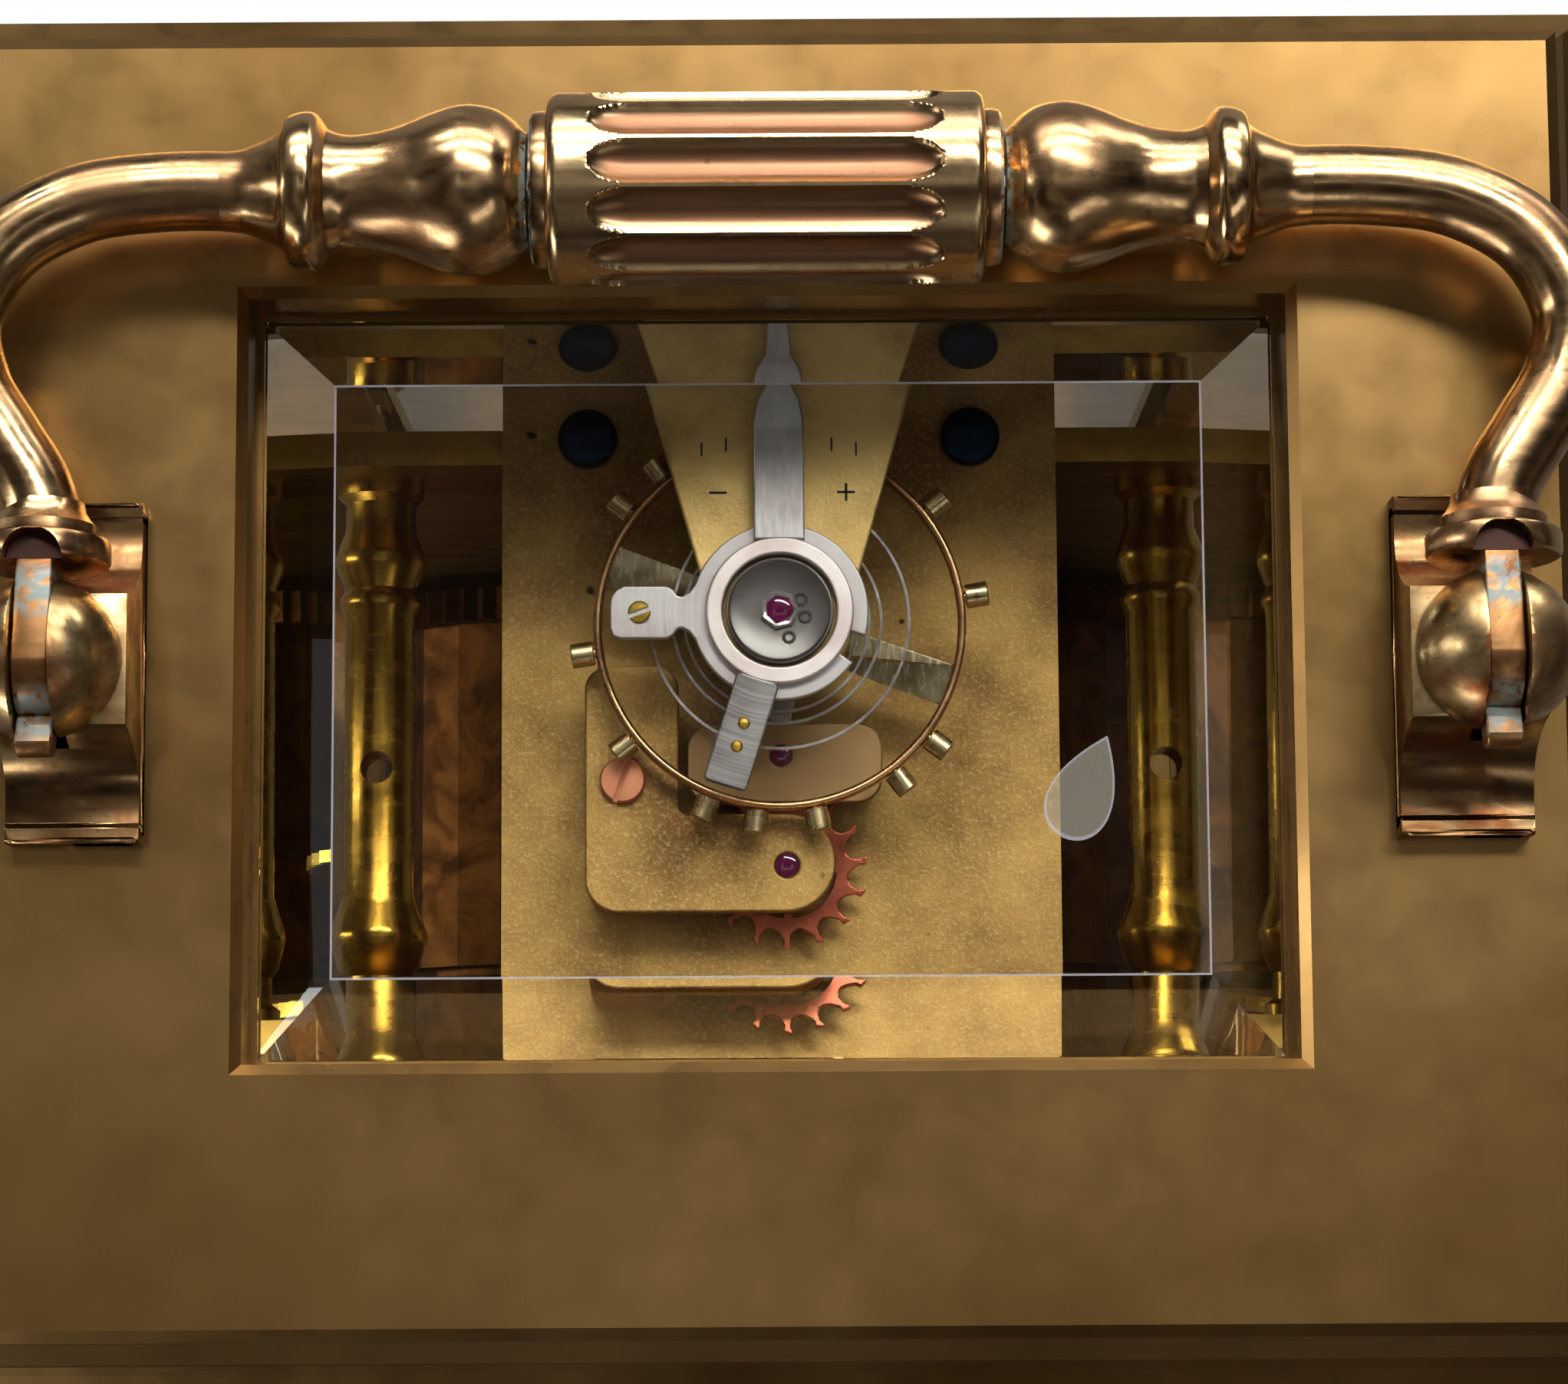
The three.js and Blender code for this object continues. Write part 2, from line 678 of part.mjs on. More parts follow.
const centreWheelFront = drumFront - 2.4;
const thirdWheelFront = -4.8;
const contrateFront = escapeY - 3.4;

function thirdWheel() {
  const arbor = rodY(arborRadius * 0.8, frontInner + pivotGap, backInner - pivotGap, 10);
  const pivots = rodY(0.4, frontInner - 1.2, backInner + 1.2, 8);
  const towardsCentre = angleTo(third, centre) + Math.PI / thirdPinionTeeth;
  const leaves = toothed(thirdPinionTeeth, centreModule);
  const pinion = turnedGear(leaves, centreWheelFront - 0.4, centreWheelFront + 2, towardsCentre);
  const wheelRadius = pitchRadius(thirdTeeth, thirdModule);
  const shape = toothed(thirdTeeth, thirdModule, 0.85, crossings(5, 2.2, wheelRadius - 1.5, 0.5), true);
  const wheel = turnedGear(shape, thirdWheelFront, thirdWheelFront + 0.7, angleTo(third, contrate), 3);
  return union(arbor, pivots, pinion, wheel).translate([third[0], 0, third[1]]);
}

// A ring round Y whose back edge is a row of pointed teeth
function crownRing(inner, outer, front, root, tip, teeth) {
  const position = [];
  const index = [];
  const count = teeth * 2;
  for (let i = 0; i < count; i++) {
    const a = (Math.PI * i) / teeth;
    const back = i % 2 ? root : tip;
    for (const [r, y] of [[inner, front], [outer, front], [outer, back], [inner, back]]) {
      position.push(r * Math.cos(a), y, r * Math.sin(a));
    }
    for (let k = 0; k < 4; k++) {
      const p = 4 * i + k;
      const q = 4 * i + ((k + 1) % 4);
      const next = (i + 1 < count ? 4 : 4 - 4 * count);
      index.push(p, q, q + next, p, q + next, p + next);
    }
  }
  const g = new THREE.BufferGeometry();
  g.setAttribute('position', new THREE.Float32BufferAttribute(position, 3));
  g.setIndex(index);
  return solid(g);
}

// Crown wheel: teeth stand on its rim towards the back, where the upright escape pinion meets them
function contrateWheel() {
  const arbor = rodY(arborRadius * 0.7, frontInner + pivotGap, backInner - pivotGap, 10);
  const pivots = rodY(0.35, frontInner - 1.2, backInner + 1.2, 8);
  const towardsThird = angleTo(contrate, third) + Math.PI / contratePinionTeeth;
  const leaves = toothed(contratePinionTeeth, thirdModule);
  const pinion = turnedGear(leaves, thirdWheelFront - 0.4, thirdWheelFront + 1.2, towardsThird);
  const r = contrateRadius;
  const tip = escapeY - 0.62;
  const s = new THREE.Shape();
  s.absarc(0, 0, r - 0.3, 0, Math.PI * 2);
  for (const hole of crossings(4, 2, r - 1.6, 0.5)) s.holes.push(hole);
  const web = upright(s, contrateFront, contrateFront + 0.7, 4);
  const crown = crownRing(r - 0.6, r, contrateFront, tip - 0.8, tip, contrateTeeth);
  return union(arbor, pivots, pinion, web, crown).translate([contrate[0], 0, contrate[1]]);
}

// Motion work between the front plate and the dial
const minuteWheelAt = [0, dialZ - pitchRadius(cannonTeeth + minuteTeeth, cannonModule)];
const frontFace = frontPlateY - plateThickness;
const hourModule = (2 * (dialZ - minuteWheelAt[1])) / (minutePinionTeeth + hourTeeth);

function cannonPinion() {
  const bore = disc(0, 0, cannonBore);
  const angle = -Math.PI / 2 + Math.PI / cannonTeeth;
  const shape = toothed(cannonTeeth, cannonModule, 0.85, [bore]);
  const pinion = turnedGear(shape, frontFace - 1.3, frontFace - 0.3, angle);
  const tube = new THREE.Shape();
  tube.absarc(0, 0, cannonPipe, 0, Math.PI * 2);
  tube.holes.push(disc(0, 0, cannonBore));
  const pipe = upright(tube, minuteHandY - 0.1, frontFace - 1.2, 8);
  return union(pinion, pipe).translate([0, 0, dialZ]);
}

function minuteHand() {
  const hand = spadeHand(minuteHandLength, cannonPipe + 0.7, cannonPipe + seat);
  return upright(hand, minuteHandY, minuteHandY + handThickness, 8).translate([0, 0, dialZ]);
}

function minuteWheel() {
  const bore = () => disc(0, 0, 0.9);
  const teeth = toothed(minuteTeeth, cannonModule, 0.85, [bore()], true);
  const wheel = turnedGear(teeth, frontFace - 1.2, frontFace - 0.5, Math.PI / 2);
  const pinionAngle = Math.PI / 2 + Math.PI / minutePinionTeeth;
  const leaves = toothed(minutePinionTeeth, hourModule, 0.85, [bore()]);
  const pinion = turnedGear(leaves, frontFace - 2.2, frontFace - 1.1, pinionAngle);
  return union(wheel, pinion).translate([minuteWheelAt[0], 0, minuteWheelAt[1]]);
}

function hourWheel() {
  const bore = cannonPipe + fit;
  const teeth = toothed(hourTeeth, hourModule, 0.85, [disc(0, 0, bore)], true);
  const wheel = turnedGear(teeth, frontFace - 2.2, frontFace - 1.5, -Math.PI / 2);
  const tube = new THREE.Shape();
  tube.absarc(0, 0, hourPipe, 0, Math.PI * 2);
  tube.holes.push(disc(0, 0, bore));
  const pipe = upright(tube, hourHandY, frontFace - 1.6, 8);
  return union(wheel, pipe).translate([0, 0, dialZ]);
}

function hourHand() {
  const hand = spadeHand(hourHandLength, hourPipe + 0.8, hourPipe + seat);
  const body = upright(hand, hourHandY, hourHandY + handThickness, 8);
  return body.rotate([0, hourHandAngle, 0]).translate([0, 0, dialZ]);
}

// Movement frame
function frontPlate() {
  const s = rectangle(0, (deckZ + plateTopZ) / 2, plateWidth / 2, (plateTopZ - deckZ) / 2);
  for (const at of [going, strike]) s.holes.push(disc(at[0], at[1], barrelArborRadius + fit));
  for (const at of [centre, third, contrate]) s.holes.push(disc(at[0], at[1], 0.85));
  let body = upright(s, frontPlateY - plateThickness, frontPlateY, 6);
  const stud = rodY(0.6, frontFace - 2.3, frontFace + 0.5, 10);
  body = union(body, stud.translate([minuteWheelAt[0], 0, minuteWheelAt[1]]));
  const middle = frontPlateY - plateThickness / 2;
  for (const sx of [-1, 1]) body = body.subtract(screwHole(sx, middle));
  return body;
}

function backPlate() {
  const s = rectangle(0, (deckZ + plateTopZ) / 2, plateWidth / 2, (plateTopZ - deckZ) / 2);
  for (const at of [going, strike]) s.holes.push(disc(at[0], at[1], barrelArborRadius + fit));
  s.holes.push(disc(centre[0], centre[1], 0.85));
  for (const at of [third, contrate]) s.holes.push(disc(at[0], at[1], 0.7));
  let body = upright(s, backPlateY, backPlateY + plateThickness, 6);
  const middle = backPlateY + plateThickness / 2;
  for (const sx of [-1, 1]) body = body.subtract(screwHole(sx, middle));
  return body;
}

const screwSpread = 9.8;
const screwShank = 0.5;
const screwDepth = 3;
const screwHead = 1.52;

function screwHole(side, y) {
  const hole = rodZ(screwShank + 0.15, platformZ - platformThickness - screwDepth, platformZ + 1, 10);
  return hole.translate([platformX + side * screwSpread, y, 0]);
}

function platformScrew(side, y) {
  const profile = [
    [0, -platformThickness - screwDepth + 0.5], [screwShank, -platformThickness - screwDepth + 0.5],
    [screwShank, 0], [screwHead, 0], [screwHead, 0.7], [screwHead - 0.25, 0.95], [0, 0.95],
  ];
  const slot = box(-screwHead - 1, screwHead + 1, -0.2, 0.2, 0.55, 2);
  const body = turnedZ(profile, 12).subtract(slot.rotate([0, 0, 35 * side]));
  return body.translate([platformX + side * screwSpread, y, platformZ]);
}

function movementPillar(side, z, pierced) {
  const r = pillarRadius;
  const k = knopRadius;
  const front = frontPlateY;
  const back = backPlateY;
  const profile = [
    [0, front], [r + 0.45, front], [r + 0.45, front + 0.8], [r - 0.1, front + 1.2], [r - 0.1, front + 2.6],
    [k, front + 4.6], [r, front + 6.8], [r, back - 7], [r + 0.3, back - 6.3], [r, back - 5.6],
    [k - 0.2, back - 4], [r, back - 2.4], [r, back - 1], [r + 0.45, back - 0.6], [r + 0.45, back], [0, back],
  ];
  let body = alongY(turnedZ(profile, 10));
  if (pierced) body = body.subtract(rodZ(pillarHoleRadius, -5, 5, 10).translate([0, -1.7, 0]));
  return body.translate([side * pillarX, 0, z]);
}

// Platform: plate, wheel, lever, balance and their cocks. Heights here count from the platform's face
const balanceAt = [platformX, balanceY];

function platformPlate() {
  const midY = (platformBack + platformFront) / 2;
  const s = rectangle(platformX, midY, platformWidth / 2, (platformBack - platformFront) / 2);
  s.holes.push(disc(escapeAt[0], escapeAt[1], 1.5));
  let body = raised(s, platformZ - platformThickness, platformZ, 6);
  for (const y of [backPlateY, frontPlateY - plateThickness]) {
    for (const sx of [-1, 1]) {
      body = body.subtract(screwHole(sx, y + plateThickness / 2));
    }
  }
  return body;
}

function escapeWheel() {
  const step = (Math.PI * 2) / escapeTeeth;
  const points = [];
  const at = (r, a) => [r * Math.cos(a), r * Math.sin(a)];
  for (let i = 0; i < escapeTeeth; i++) {
    const a = (i + 0.5) * step + Math.PI / 2;
    points.push(at(3.05, a - 0.5 * step));
    points.push(at(3.6, a - 0.1 * step));
    points.push(at(escapeTipRadius - 0.15, a - 0.12 * step));
    points.push(at(escapeTipRadius, a + 0.1 * step));
    points.push(at(3.7, a + 0.06 * step));
  }
  const s = polygon(points);
  for (const hole of crossings(4, 1, 2.45, 0.22)) s.holes.push(hole);
  const z = platformZ;
  const wheel = raised(s, z + 1.2, z + 1.65, 3);
  const arbor = rodZ(0.4, contrateTopZ - 2.4, z + bridgeTop - bridgeThickness - 0.2, 10);
  const pivot = rodZ(0.2, z + 1, z + bridgeTop - 0.2, 8);
  const tipRadius = 0.98;
  const leaves = [];
  for (let i = 0; i < escapePinionTeeth; i++) {
    const a = ((i + 0.5) * Math.PI * 2) / escapePinionTeeth - Math.PI / 2;
    leaves.push(at(tipRadius, a - 0.13));
    leaves.push(at(tipRadius, a + 0.13));
    leaves.push(at(0.5, a + Math.PI / escapePinionTeeth));
  }
  const pinion = raised(polygon(leaves), contrateTopZ - 1.9, contrateTopZ + 1, 1);
  return union(wheel, arbor, pivot).translate([escapeAt[0], escapeAt[1], 0])
    .add(pinion.translate([escapeAt[0], escapeAt[1], 0]));
}

const contrateTopZ = contrateZ + contrateRadius;

function palletLever() {
  const z = platformZ;
  const c = [platformX, leverY];
  const e = escapeAt;
  const stoneReach = escapeTipRadius + fit + 0.05;
  const half = Math.PI / 6;
  const stoneAt = (side) => [e[0] + side * stoneReach * Math.sin(half), e[1] + stoneReach * Math.cos(half)];
  const [lx, ly] = stoneAt(-1);
  const [rx, ry] = stoneAt(1);
  const forkY = balanceY - 2.15;
  const s = polygon([
    [c[0] - 0.35, forkY], [c[0] - 0.35, c[1] + 1], [c[0] - 0.9, c[1] + 0.3], [lx - 0.75, ly + 0.75],
    [lx - 0.75, ly], [lx, ly], [lx + 0.45, ly + 0.55], [c[0] - 0.5, c[1] - 0.6], [c[0] + 0.5, c[1] - 0.6],
    [rx - 0.45, ry + 0.55], [rx, ry], [rx + 0.75, ry], [rx + 0.75, ry + 0.75], [c[0] + 0.9, c[1] + 0.3],
    [c[0] + 0.35, c[1] + 1], [c[0] + 0.35, forkY],
  ].reverse());
  const body = raised(s, z + 1.15, z + 1.65, 1);
  const fork = box(c[0] - 0.8, c[0] + 0.8, forkY - 0.9, forkY, z + 1.15, z + 1.65);
  const notch = box(c[0] - 0.3, c[0] + 0.3, forkY - 0.45, forkY + 1, z, z + 3);
  const arbor = rodZ(0.22, z + 0.4, z + 2.9, 8).translate([c[0], c[1], 0]);
  return union(body, fork).subtract(notch).add(arbor);
}

function bridgeBlank(x0, x1, y0, y1, r) {
  return roundedRect((x0 + x1) / 2, (y0 + y1) / 2, (x1 - x0) / 2, (y1 - y0) / 2, r);
}

function escapeBridge() {
  const z = platformZ;
  const under = bridgeTop - bridgeThickness;
  const leg = raised(bridgeBlank(-9.3, -4.6, -10.2, 2.2, 1.2), z, z + bridgeTop, 3);
  const top = raised(bridgeBlank(-9.3, 3.2, -10.2, -5.3, 1.9), z + under, z + bridgeTop, 3);
  let body = union(leg, top);
  body = body.subtract(rodZ(0.55, z + 1, z + 9, 12).translate([escapeAt[0], escapeAt[1], 0]));
  return body.subtract(rodZ(0.75, z + 0.6, z + 9, 12).translate([bridgeScrewAt[0], bridgeScrewAt[1], 0]));
}

const bridgeScrewAt = [-7.4, -3.6];

function bridgeScrew() {
  const z = platformZ + bridgeTop;
  const profile = [[0, -2.6], [0.55, -2.6], [0.55, 0], [1.15, 0], [1.15, 0.35], [1, 0.5], [0, 0.5]];
  const slot = box(-2, 2, -0.14, 0.14, 0.25, 1).rotate([0, 0, 70]);
  return turnedZ(profile, 16).subtract(slot).translate([bridgeScrewAt[0], bridgeScrewAt[1], z]);
}

// The lever's own cock: a low plate on a post at its right end
function palletCock() {
  const z = platformZ;
  const plate = raised(bridgeBlank(-4.2, 5.6, -4.7, -0.7, 1.3), z + 2.2, z + 3.1, 4);
  const post = raised(bridgeBlank(3.6, 5.6, -3.4, -0.7, 0.8), z, z + 2.6, 4);
  const body = union(plate, post);
  return body.subtract(rodZ(0.5, z + 1, z + 5, 12).translate([platformX, leverY, 0]));
}

function balanceWheel() {
  const z = platformZ + balancePlane;
  const r = balanceRadius;
  const t = rimThickness;
  const h = rimHeight / 2;
  const wall = [[r - t, -h], [r, -h], [r, h], [r - t, h], [r - t, -h]];
  const rim = alongY(turnedRing(wall, 34)).rotate([180, 0, 0]);
  const barHalf = 1.05;
  const bar = box(-r + t / 2, r - t / 2, -barHalf, barHalf, -h, -h + 0.45);
  const hub = rodZ(1.7, -h, -h + 0.7, 20);
  const screws = [];
  for (const angle of rimScrewAngles) {
    for (const turn of [0, 180]) {
      const screw = rodZ(rimScrewSize / 2, r - t / 2, r + rimScrewSize, 6);
      screws.push(screw.rotate([0, 90, 0]).rotate([0, 0, angle + turn]));
    }
  }
  let body = union(rim, bar.rotate([0, 0, barAngle]), hub, ...screws);
  body = body.subtract(rodZ(staffHub + seat, -2, 2, 16));
  return body.translate([balanceAt[0], balanceAt[1], z]);
}

const rimScrewAngles = [38, 8, -37, -53, -79, -97, -112];
const barAngle = -20;
const staffHub = 0.65;

function balanceStaff() {
  const z = platformZ;
  const hubTop = balancePlane - rimHeight / 2 + 0.7;
  const profile = [
    [0, 0.4], [0.2, 0.4], [0.2, 0.9], [0.45, 1.1], [0.45, 2.1], [2, 2.1], [2, 2.5], [0.5, 2.5],
    [0.6, balancePlane - 0.9], [1.1, balancePlane - 0.55], [staffHub, balancePlane - 0.55], [staffHub, hubTop],
    [0.5, hubTop + 0.1], [0.5, springPlane - 0.4], [0.9, springPlane - 0.35], [0.9, springPlane + 0.35],
    [0.4, springPlane + 0.4], [0.2, 7.3], [0.2, 8.8], [0, 8.8],
  ];
  const pin = rodZ(0.2, 1.2, 2.3, 8).translate([0, -1.6, 0]);
  return union(turnedZ(profile, 10), pin).translate([balanceAt[0], balanceAt[1], z]);
}

// The spring's radius after a number of turns: an even spiral whose last turn opens out to the curb pins
function springRadius(turn) {
  const even = springInner + springPitch * Math.min(turn, springTurns);
  const rise = Math.min(1, Math.max(0, (turn - springTurns) / 0.4));
  const last = springInner + springPitch * springTurns;
  return even + (springOuter - last) * rise * rise * (3 - 2 * rise);
}

function hairspring() {
  const total = springTurns + 1;
  const perTurn = 18;
  const steps = total * perTurn;
  const position = [];
  for (let i = 0; i <= steps; i++) {
    const turn = i / perTurn;
    const a = Math.PI + (total - turn) * Math.PI * 2;
    const r = springRadius(turn);
    for (const [side, up] of [[-1, -1], [1, -1], [1, 1], [-1, 1]]) {
      const q = r + (side * springWidth) / 2;
      position.push(q * Math.cos(a), q * Math.sin(a), (up * springHeight) / 2);
    }
  }
  const index = [];
  for (let i = 0; i < steps; i++) {
    for (let k = 0; k < 4; k++) {
      const a = 4 * i + k;
      const b = 4 * i + ((k + 1) % 4);
      index.push(a, b, b + 4, a, b + 4, a + 4);
    }
  }
  const e = 4 * steps;
  index.push(0, 2, 1, 0, 3, 2, e, e + 1, e + 2, e, e + 2, e + 3);
  const g = new THREE.BufferGeometry();
  g.setAttribute('position', new THREE.Float32BufferAttribute(position, 3));
  g.setIndex(index);
  return solid(g).translate([balanceAt[0], balanceAt[1], platformZ + springPlane]);
}

// The least space between neighbouring turns, measured along one radius at a time
function springGap() {
  let least = Infinity;
  for (let turn = 0; turn <= springTurns; turn += 1 / 48) {
    least = Math.min(least, springRadius(turn + 1) - springRadius(turn) - springWidth);
  }
  return least;
}

console.log(`least gap between the hairspring's turns: ${springGap().toFixed(3)} mm`);

const ringInner = 2.75;

function balanceCock() {
  const z = platformZ;
  const y0 = balanceY;
  const nose = 3.7;
  const rearHalf = 7.6;
  const s = new THREE.Shape();
  s.moveTo(platformX + rearHalf, platformBack);
  s.lineTo(platformX - rearHalf, platformBack);
  s.lineTo(platformX - nose * 0.98, y0 + nose * 0.25);
  s.absarc(platformX, y0, nose, Math.PI * 0.92, Math.PI * 2.08);
  s.closePath();
  s.holes.push(disc(platformX, y0, 0.6));
  const plate = raised(s, z + cockTop - cockThickness, z + cockTop, 10);
  const footFront = balanceY + balanceRadius + 1.7;
  const foot = box(platformX - 6.4, platformX + 6.4, footFront, platformBack, z, z + cockTop - 0.5);
  const tube = new THREE.Shape();
  tube.absarc(platformX, y0, ringInner - 0.15, 0, Math.PI * 2);
  tube.holes.push(disc(platformX, y0, 0.6));
  const boss = raised(tube, z + cockTop - 0.5, z + cockTop + 0.9, 8);
  return union(plate, foot, boss);
}

function balanceEndCap() {
  const r = ringInner - 0.2;
  const profile = [[0, 0], [r, 0], [r, 0.5], [r - 0.2, 0.6], [0.9, 0.2], [0.9, 0.45], [0.5, 0.65], [0, 0.65]];
  return turnedZ(profile, 24).translate([platformX, balanceY, platformZ + cockTop + 0.9]);
}

function studCarrier() {
  const z = platformZ + cockTop;
  const s = new THREE.Shape();
  s.absarc(0, 0, 4.35, -0.28, Math.PI - 0.36);
  s.quadraticCurveTo(-4.45, 1.15, -5.1, 1.25);
  s.absarc(-7.5, 0, 1.35, Math.PI / 2, Math.PI * 1.5);
  s.quadraticCurveTo(-4.45, -1.15, -4.07, -1.53);
  s.absarc(0, 0, 4.35, Math.PI + 0.36, Math.PI * 2 - 0.62);
  s.absarc(0, 0, ringInner, Math.PI * 2 - 0.62, -0.28, true);
  s.closePath();
  const ring = raised(s, 0, 0.55, 8);
  const stud = rodZ(studRadius, springPlane - cockTop - 0.3, 0.3, 8);
  const studX = -springOuter - springWidth / 2 - seat - studRadius;
  return union(ring, stud.translate([studX, 0, 0])).translate([balanceAt[0], balanceAt[1], z]);
}

const curbAngle = (-107.6 * Math.PI) / 180;

function regulator() {
  const z = platformZ + cockTop + 0.62;
  const ring = new THREE.Shape();
  ring.absarc(0, 0, 3.95, 0, Math.PI * 2);
  ring.holes.push(disc(0, 0, ringInner));
  const arm = polygon([[-1.3, 3.4], [1.3, 3.4], [1.25, 9.6], [1.05, 10.6], [0.6, 11.2], [0.5, 14], [-0.5, 14],
    [-0.6, 11.2], [-1.05, 10.6], [-1.25, 9.6]]);
  const tail = bridgeBlank(-1.1, 1.1, -9, -3.4, 0.35);
  const turnedTail = raised(tail, 0, 0.45, 3).rotate([0, 0, tailTurn]);
  const flat = union(raised(ring, 0, 0.45, 8), raised(arm, 0, 0.45), turnedTail);
  const pins = [];
  for (const r of [springOuter - 0.58, springOuter + 0.6]) {
    const pin = rodZ(0.22, springPlane - cockTop - 0.6 - 0.4, 0.6, 8);
    pins.push(pin.translate([r * Math.cos(curbAngle), r * Math.sin(curbAngle), 0]));
  }
  return union(flat, ...pins).translate([balanceAt[0], balanceAt[1], z]);
}

const tailTurn = (curbAngle * 180) / Math.PI + 90;

// Handle: fluted grip, two arms with turned balusters, slotted ball brackets and their pins
const placeHandle = (body) => body.rotate([(-handleDrop * 180) / Math.PI, 0, 0]).translate([0, 0, pivotZ]);
const fluteLength = 17.6;

function handleGrip() {
  const half = gripLength / 2;
  const body = half - 0.8;
  const r = gripRadius;
  const profile = [
    [0, -half], [3.5, -half], [3.6, -half + 0.25], [3.6, -body], [r - 0.5, -body], [r - 0.12, -body + 0.2],
    [r, -body + 0.6], [r, body - 0.6], [r - 0.12, body - 0.2], [r - 0.5, body], [3.6, body],
    [3.6, half - 0.25], [3.5, half], [0, half],
  ];
  let grip = turnedZ(profile, gripFlutes * 2);
  const w = 0.92;
  const scoop = [
    [0, -fluteLength / 2], [w * 0.75, -fluteLength / 2 + 0.6], [w, -fluteLength / 2 + 1.9],
    [w, fluteLength / 2 - 1.9], [w * 0.75, fluteLength / 2 - 0.6], [0, fluteLength / 2],
  ];
  const flutes = [];
  for (let i = 0; i < gripFlutes; i++) {
    const a = (i + 0.5) * (360 / gripFlutes);
    flutes.push(turnedZ(scoop, 6).translate([r - 0.1, 0, 0]).rotate([0, 0, a]));
  }
  grip = grip.subtract(wasm.Manifold.union(flutes)).subtract(rodZ(tieRadius + fit, -half - 1, half + 1, 12));
  return placeHandle(alongX(grip).translate([0, gripReach, 0]));
}

const tieRadius = 0.9;
const armStart = gripLength / 2 + 0.15;

function tieRod() {
  const reach = armStart + 2.6;
  return placeHandle(alongX(rodZ(tieRadius, -reach, reach, 10)).translate([0, gripReach, 0]));
}

function handleArm(side) {
  const s = armStart;
  const r = rodRadius;
  const baluster = [
    [0, s], [2.6, s], [3.5, s + 1], [4, s + 2.5], [3.8, s + 3.9], [3.2, s + 5.4], [2.7, s + 6.9],
    [2.6, s + 8.1], [3, s + 9.6], [3.6, s + 9.9], [3.7, s + 10.7], [3.4, s + 11.2], [2.9, s + 11.3],
    [2.2, s + 12.6], [r, s + 13.8], [0, s + 13.8],
  ];
  const turned = alongX(turnedZ(baluster, 14)).translate([0, gripReach, 0]);
  const path = new THREE.CatmullRomCurve3([
    [s + 12.6, gripReach], [28, gripReach], [32, gripReach - 0.6], [35.4, gripReach - 2.6],
    [37.2, gripReach - 6], [36.7, gripReach - 9.2], [35.1, gripReach - 11.9], [33.8, gripReach - 14],
    [pivotX, gripReach - 16], [pivotX, 5.2],
  ].map(([x, y]) => new THREE.Vector3(x, y, 0)));
  const section = new THREE.Shape();
  section.absarc(0, 0, r, 0, Math.PI * 2);
  const g = new THREE.ExtrudeGeometry(section, {
    steps: 16, extrudePath: path, curveSegments: 4, bevelEnabled: false,
  });
  const rod = solid(g);
  const collar = [[0, 4.2], [3.15, 4.2], [3.15, 5.5], [2.5, 5.6], [2.4, 6.3], [r, 7], [0, 7]];
  const ring = alongY(turnedZ(collar, 14)).translate([pivotX, 0, 0]);
  const t = tongueThickness / 2;
  const arch = alongY(rodZ(1.9, 3.5, 4.75, 12)).translate([pivotX, 0, 1.9]);
  const tongue = alongX(rodZ(3.3, -t, t, 16)).translate([pivotX, 0, 0]);
  const neck = box(pivotX - t, pivotX + t, 0, 4.9, -2.1, 2.1);
  const lip = alongX(rodZ(0.85, -t, t, 10)).translate([pivotX, -3.9, 0.5]);
  const lipRoot = box(pivotX - t, pivotX + t, -3.9, -2, -0.35, 1.35);
  let arm = union(turned, rod, ring.subtract(arch), tongue, neck, lip, lipRoot);
  arm = arm.subtract(alongX(rodZ(pinRadius + fit, -3, 3, 12)).translate([pivotX, 0, 0]));
  arm = arm.subtract(alongX(rodZ(tieRadius + fit, s - 1, s + 3, 10)).translate([0, gripReach, 0]));
  if (side < 0) arm = arm.scale([-1, 1, 1]);
  return placeHandle(arm);
}

function bracket(side) {
  const rise = pivotRise;
  const half = bracketLength / 2;
  const front = [
    [half, 0], [half, 1.7], [half - 0.5, 2.3], [6.2, 2.05], [5.3, 2], [4.5, 2.3], [3.7, 3.2], [3.1, 4.6],
    [2.8, rise],
  ];
  const outline = [...front, ...front.map(([y, z]) => [-y, z]).reverse()];
  const g = new THREE.ExtrudeGeometry(polygon(outline), { depth: bracketWidth, bevelEnabled: false });
  g.translate(0, 0, -bracketWidth / 2);
  g.rotateX(Math.PI / 2);
  g.rotateZ(Math.PI / 2);
  const round = raised(roundedRect(0, 0, bracketWidth / 2, half, footRound), -1, rise + 1, 2);
  const foot = solid(g).intersect(round).translate([-side * bracketInset, 0, 0]);
  const ball = solid(new THREE.SphereGeometry(ballRadius, 14, 8)).translate([0, 0, rise]);
  const slotHalf = tongueThickness / 2 + fit;
  const slot = alongX(rodZ(5.2, -slotHalf, slotHalf, 24)).translate([0, 0, rise]);
  const bore = alongX(rodZ(pinRadius + seat, -6, 6, 12)).translate([0, 0, rise]);
  return union(foot, ball).subtract(slot).subtract(bore).translate([side * pivotX, 0, topZ]);
}

function pivotPin(side) {
  return alongX(rodZ(pinRadius, -3.6, 3.6, 12)).translate([side * pivotX, 0, pivotZ]);
}

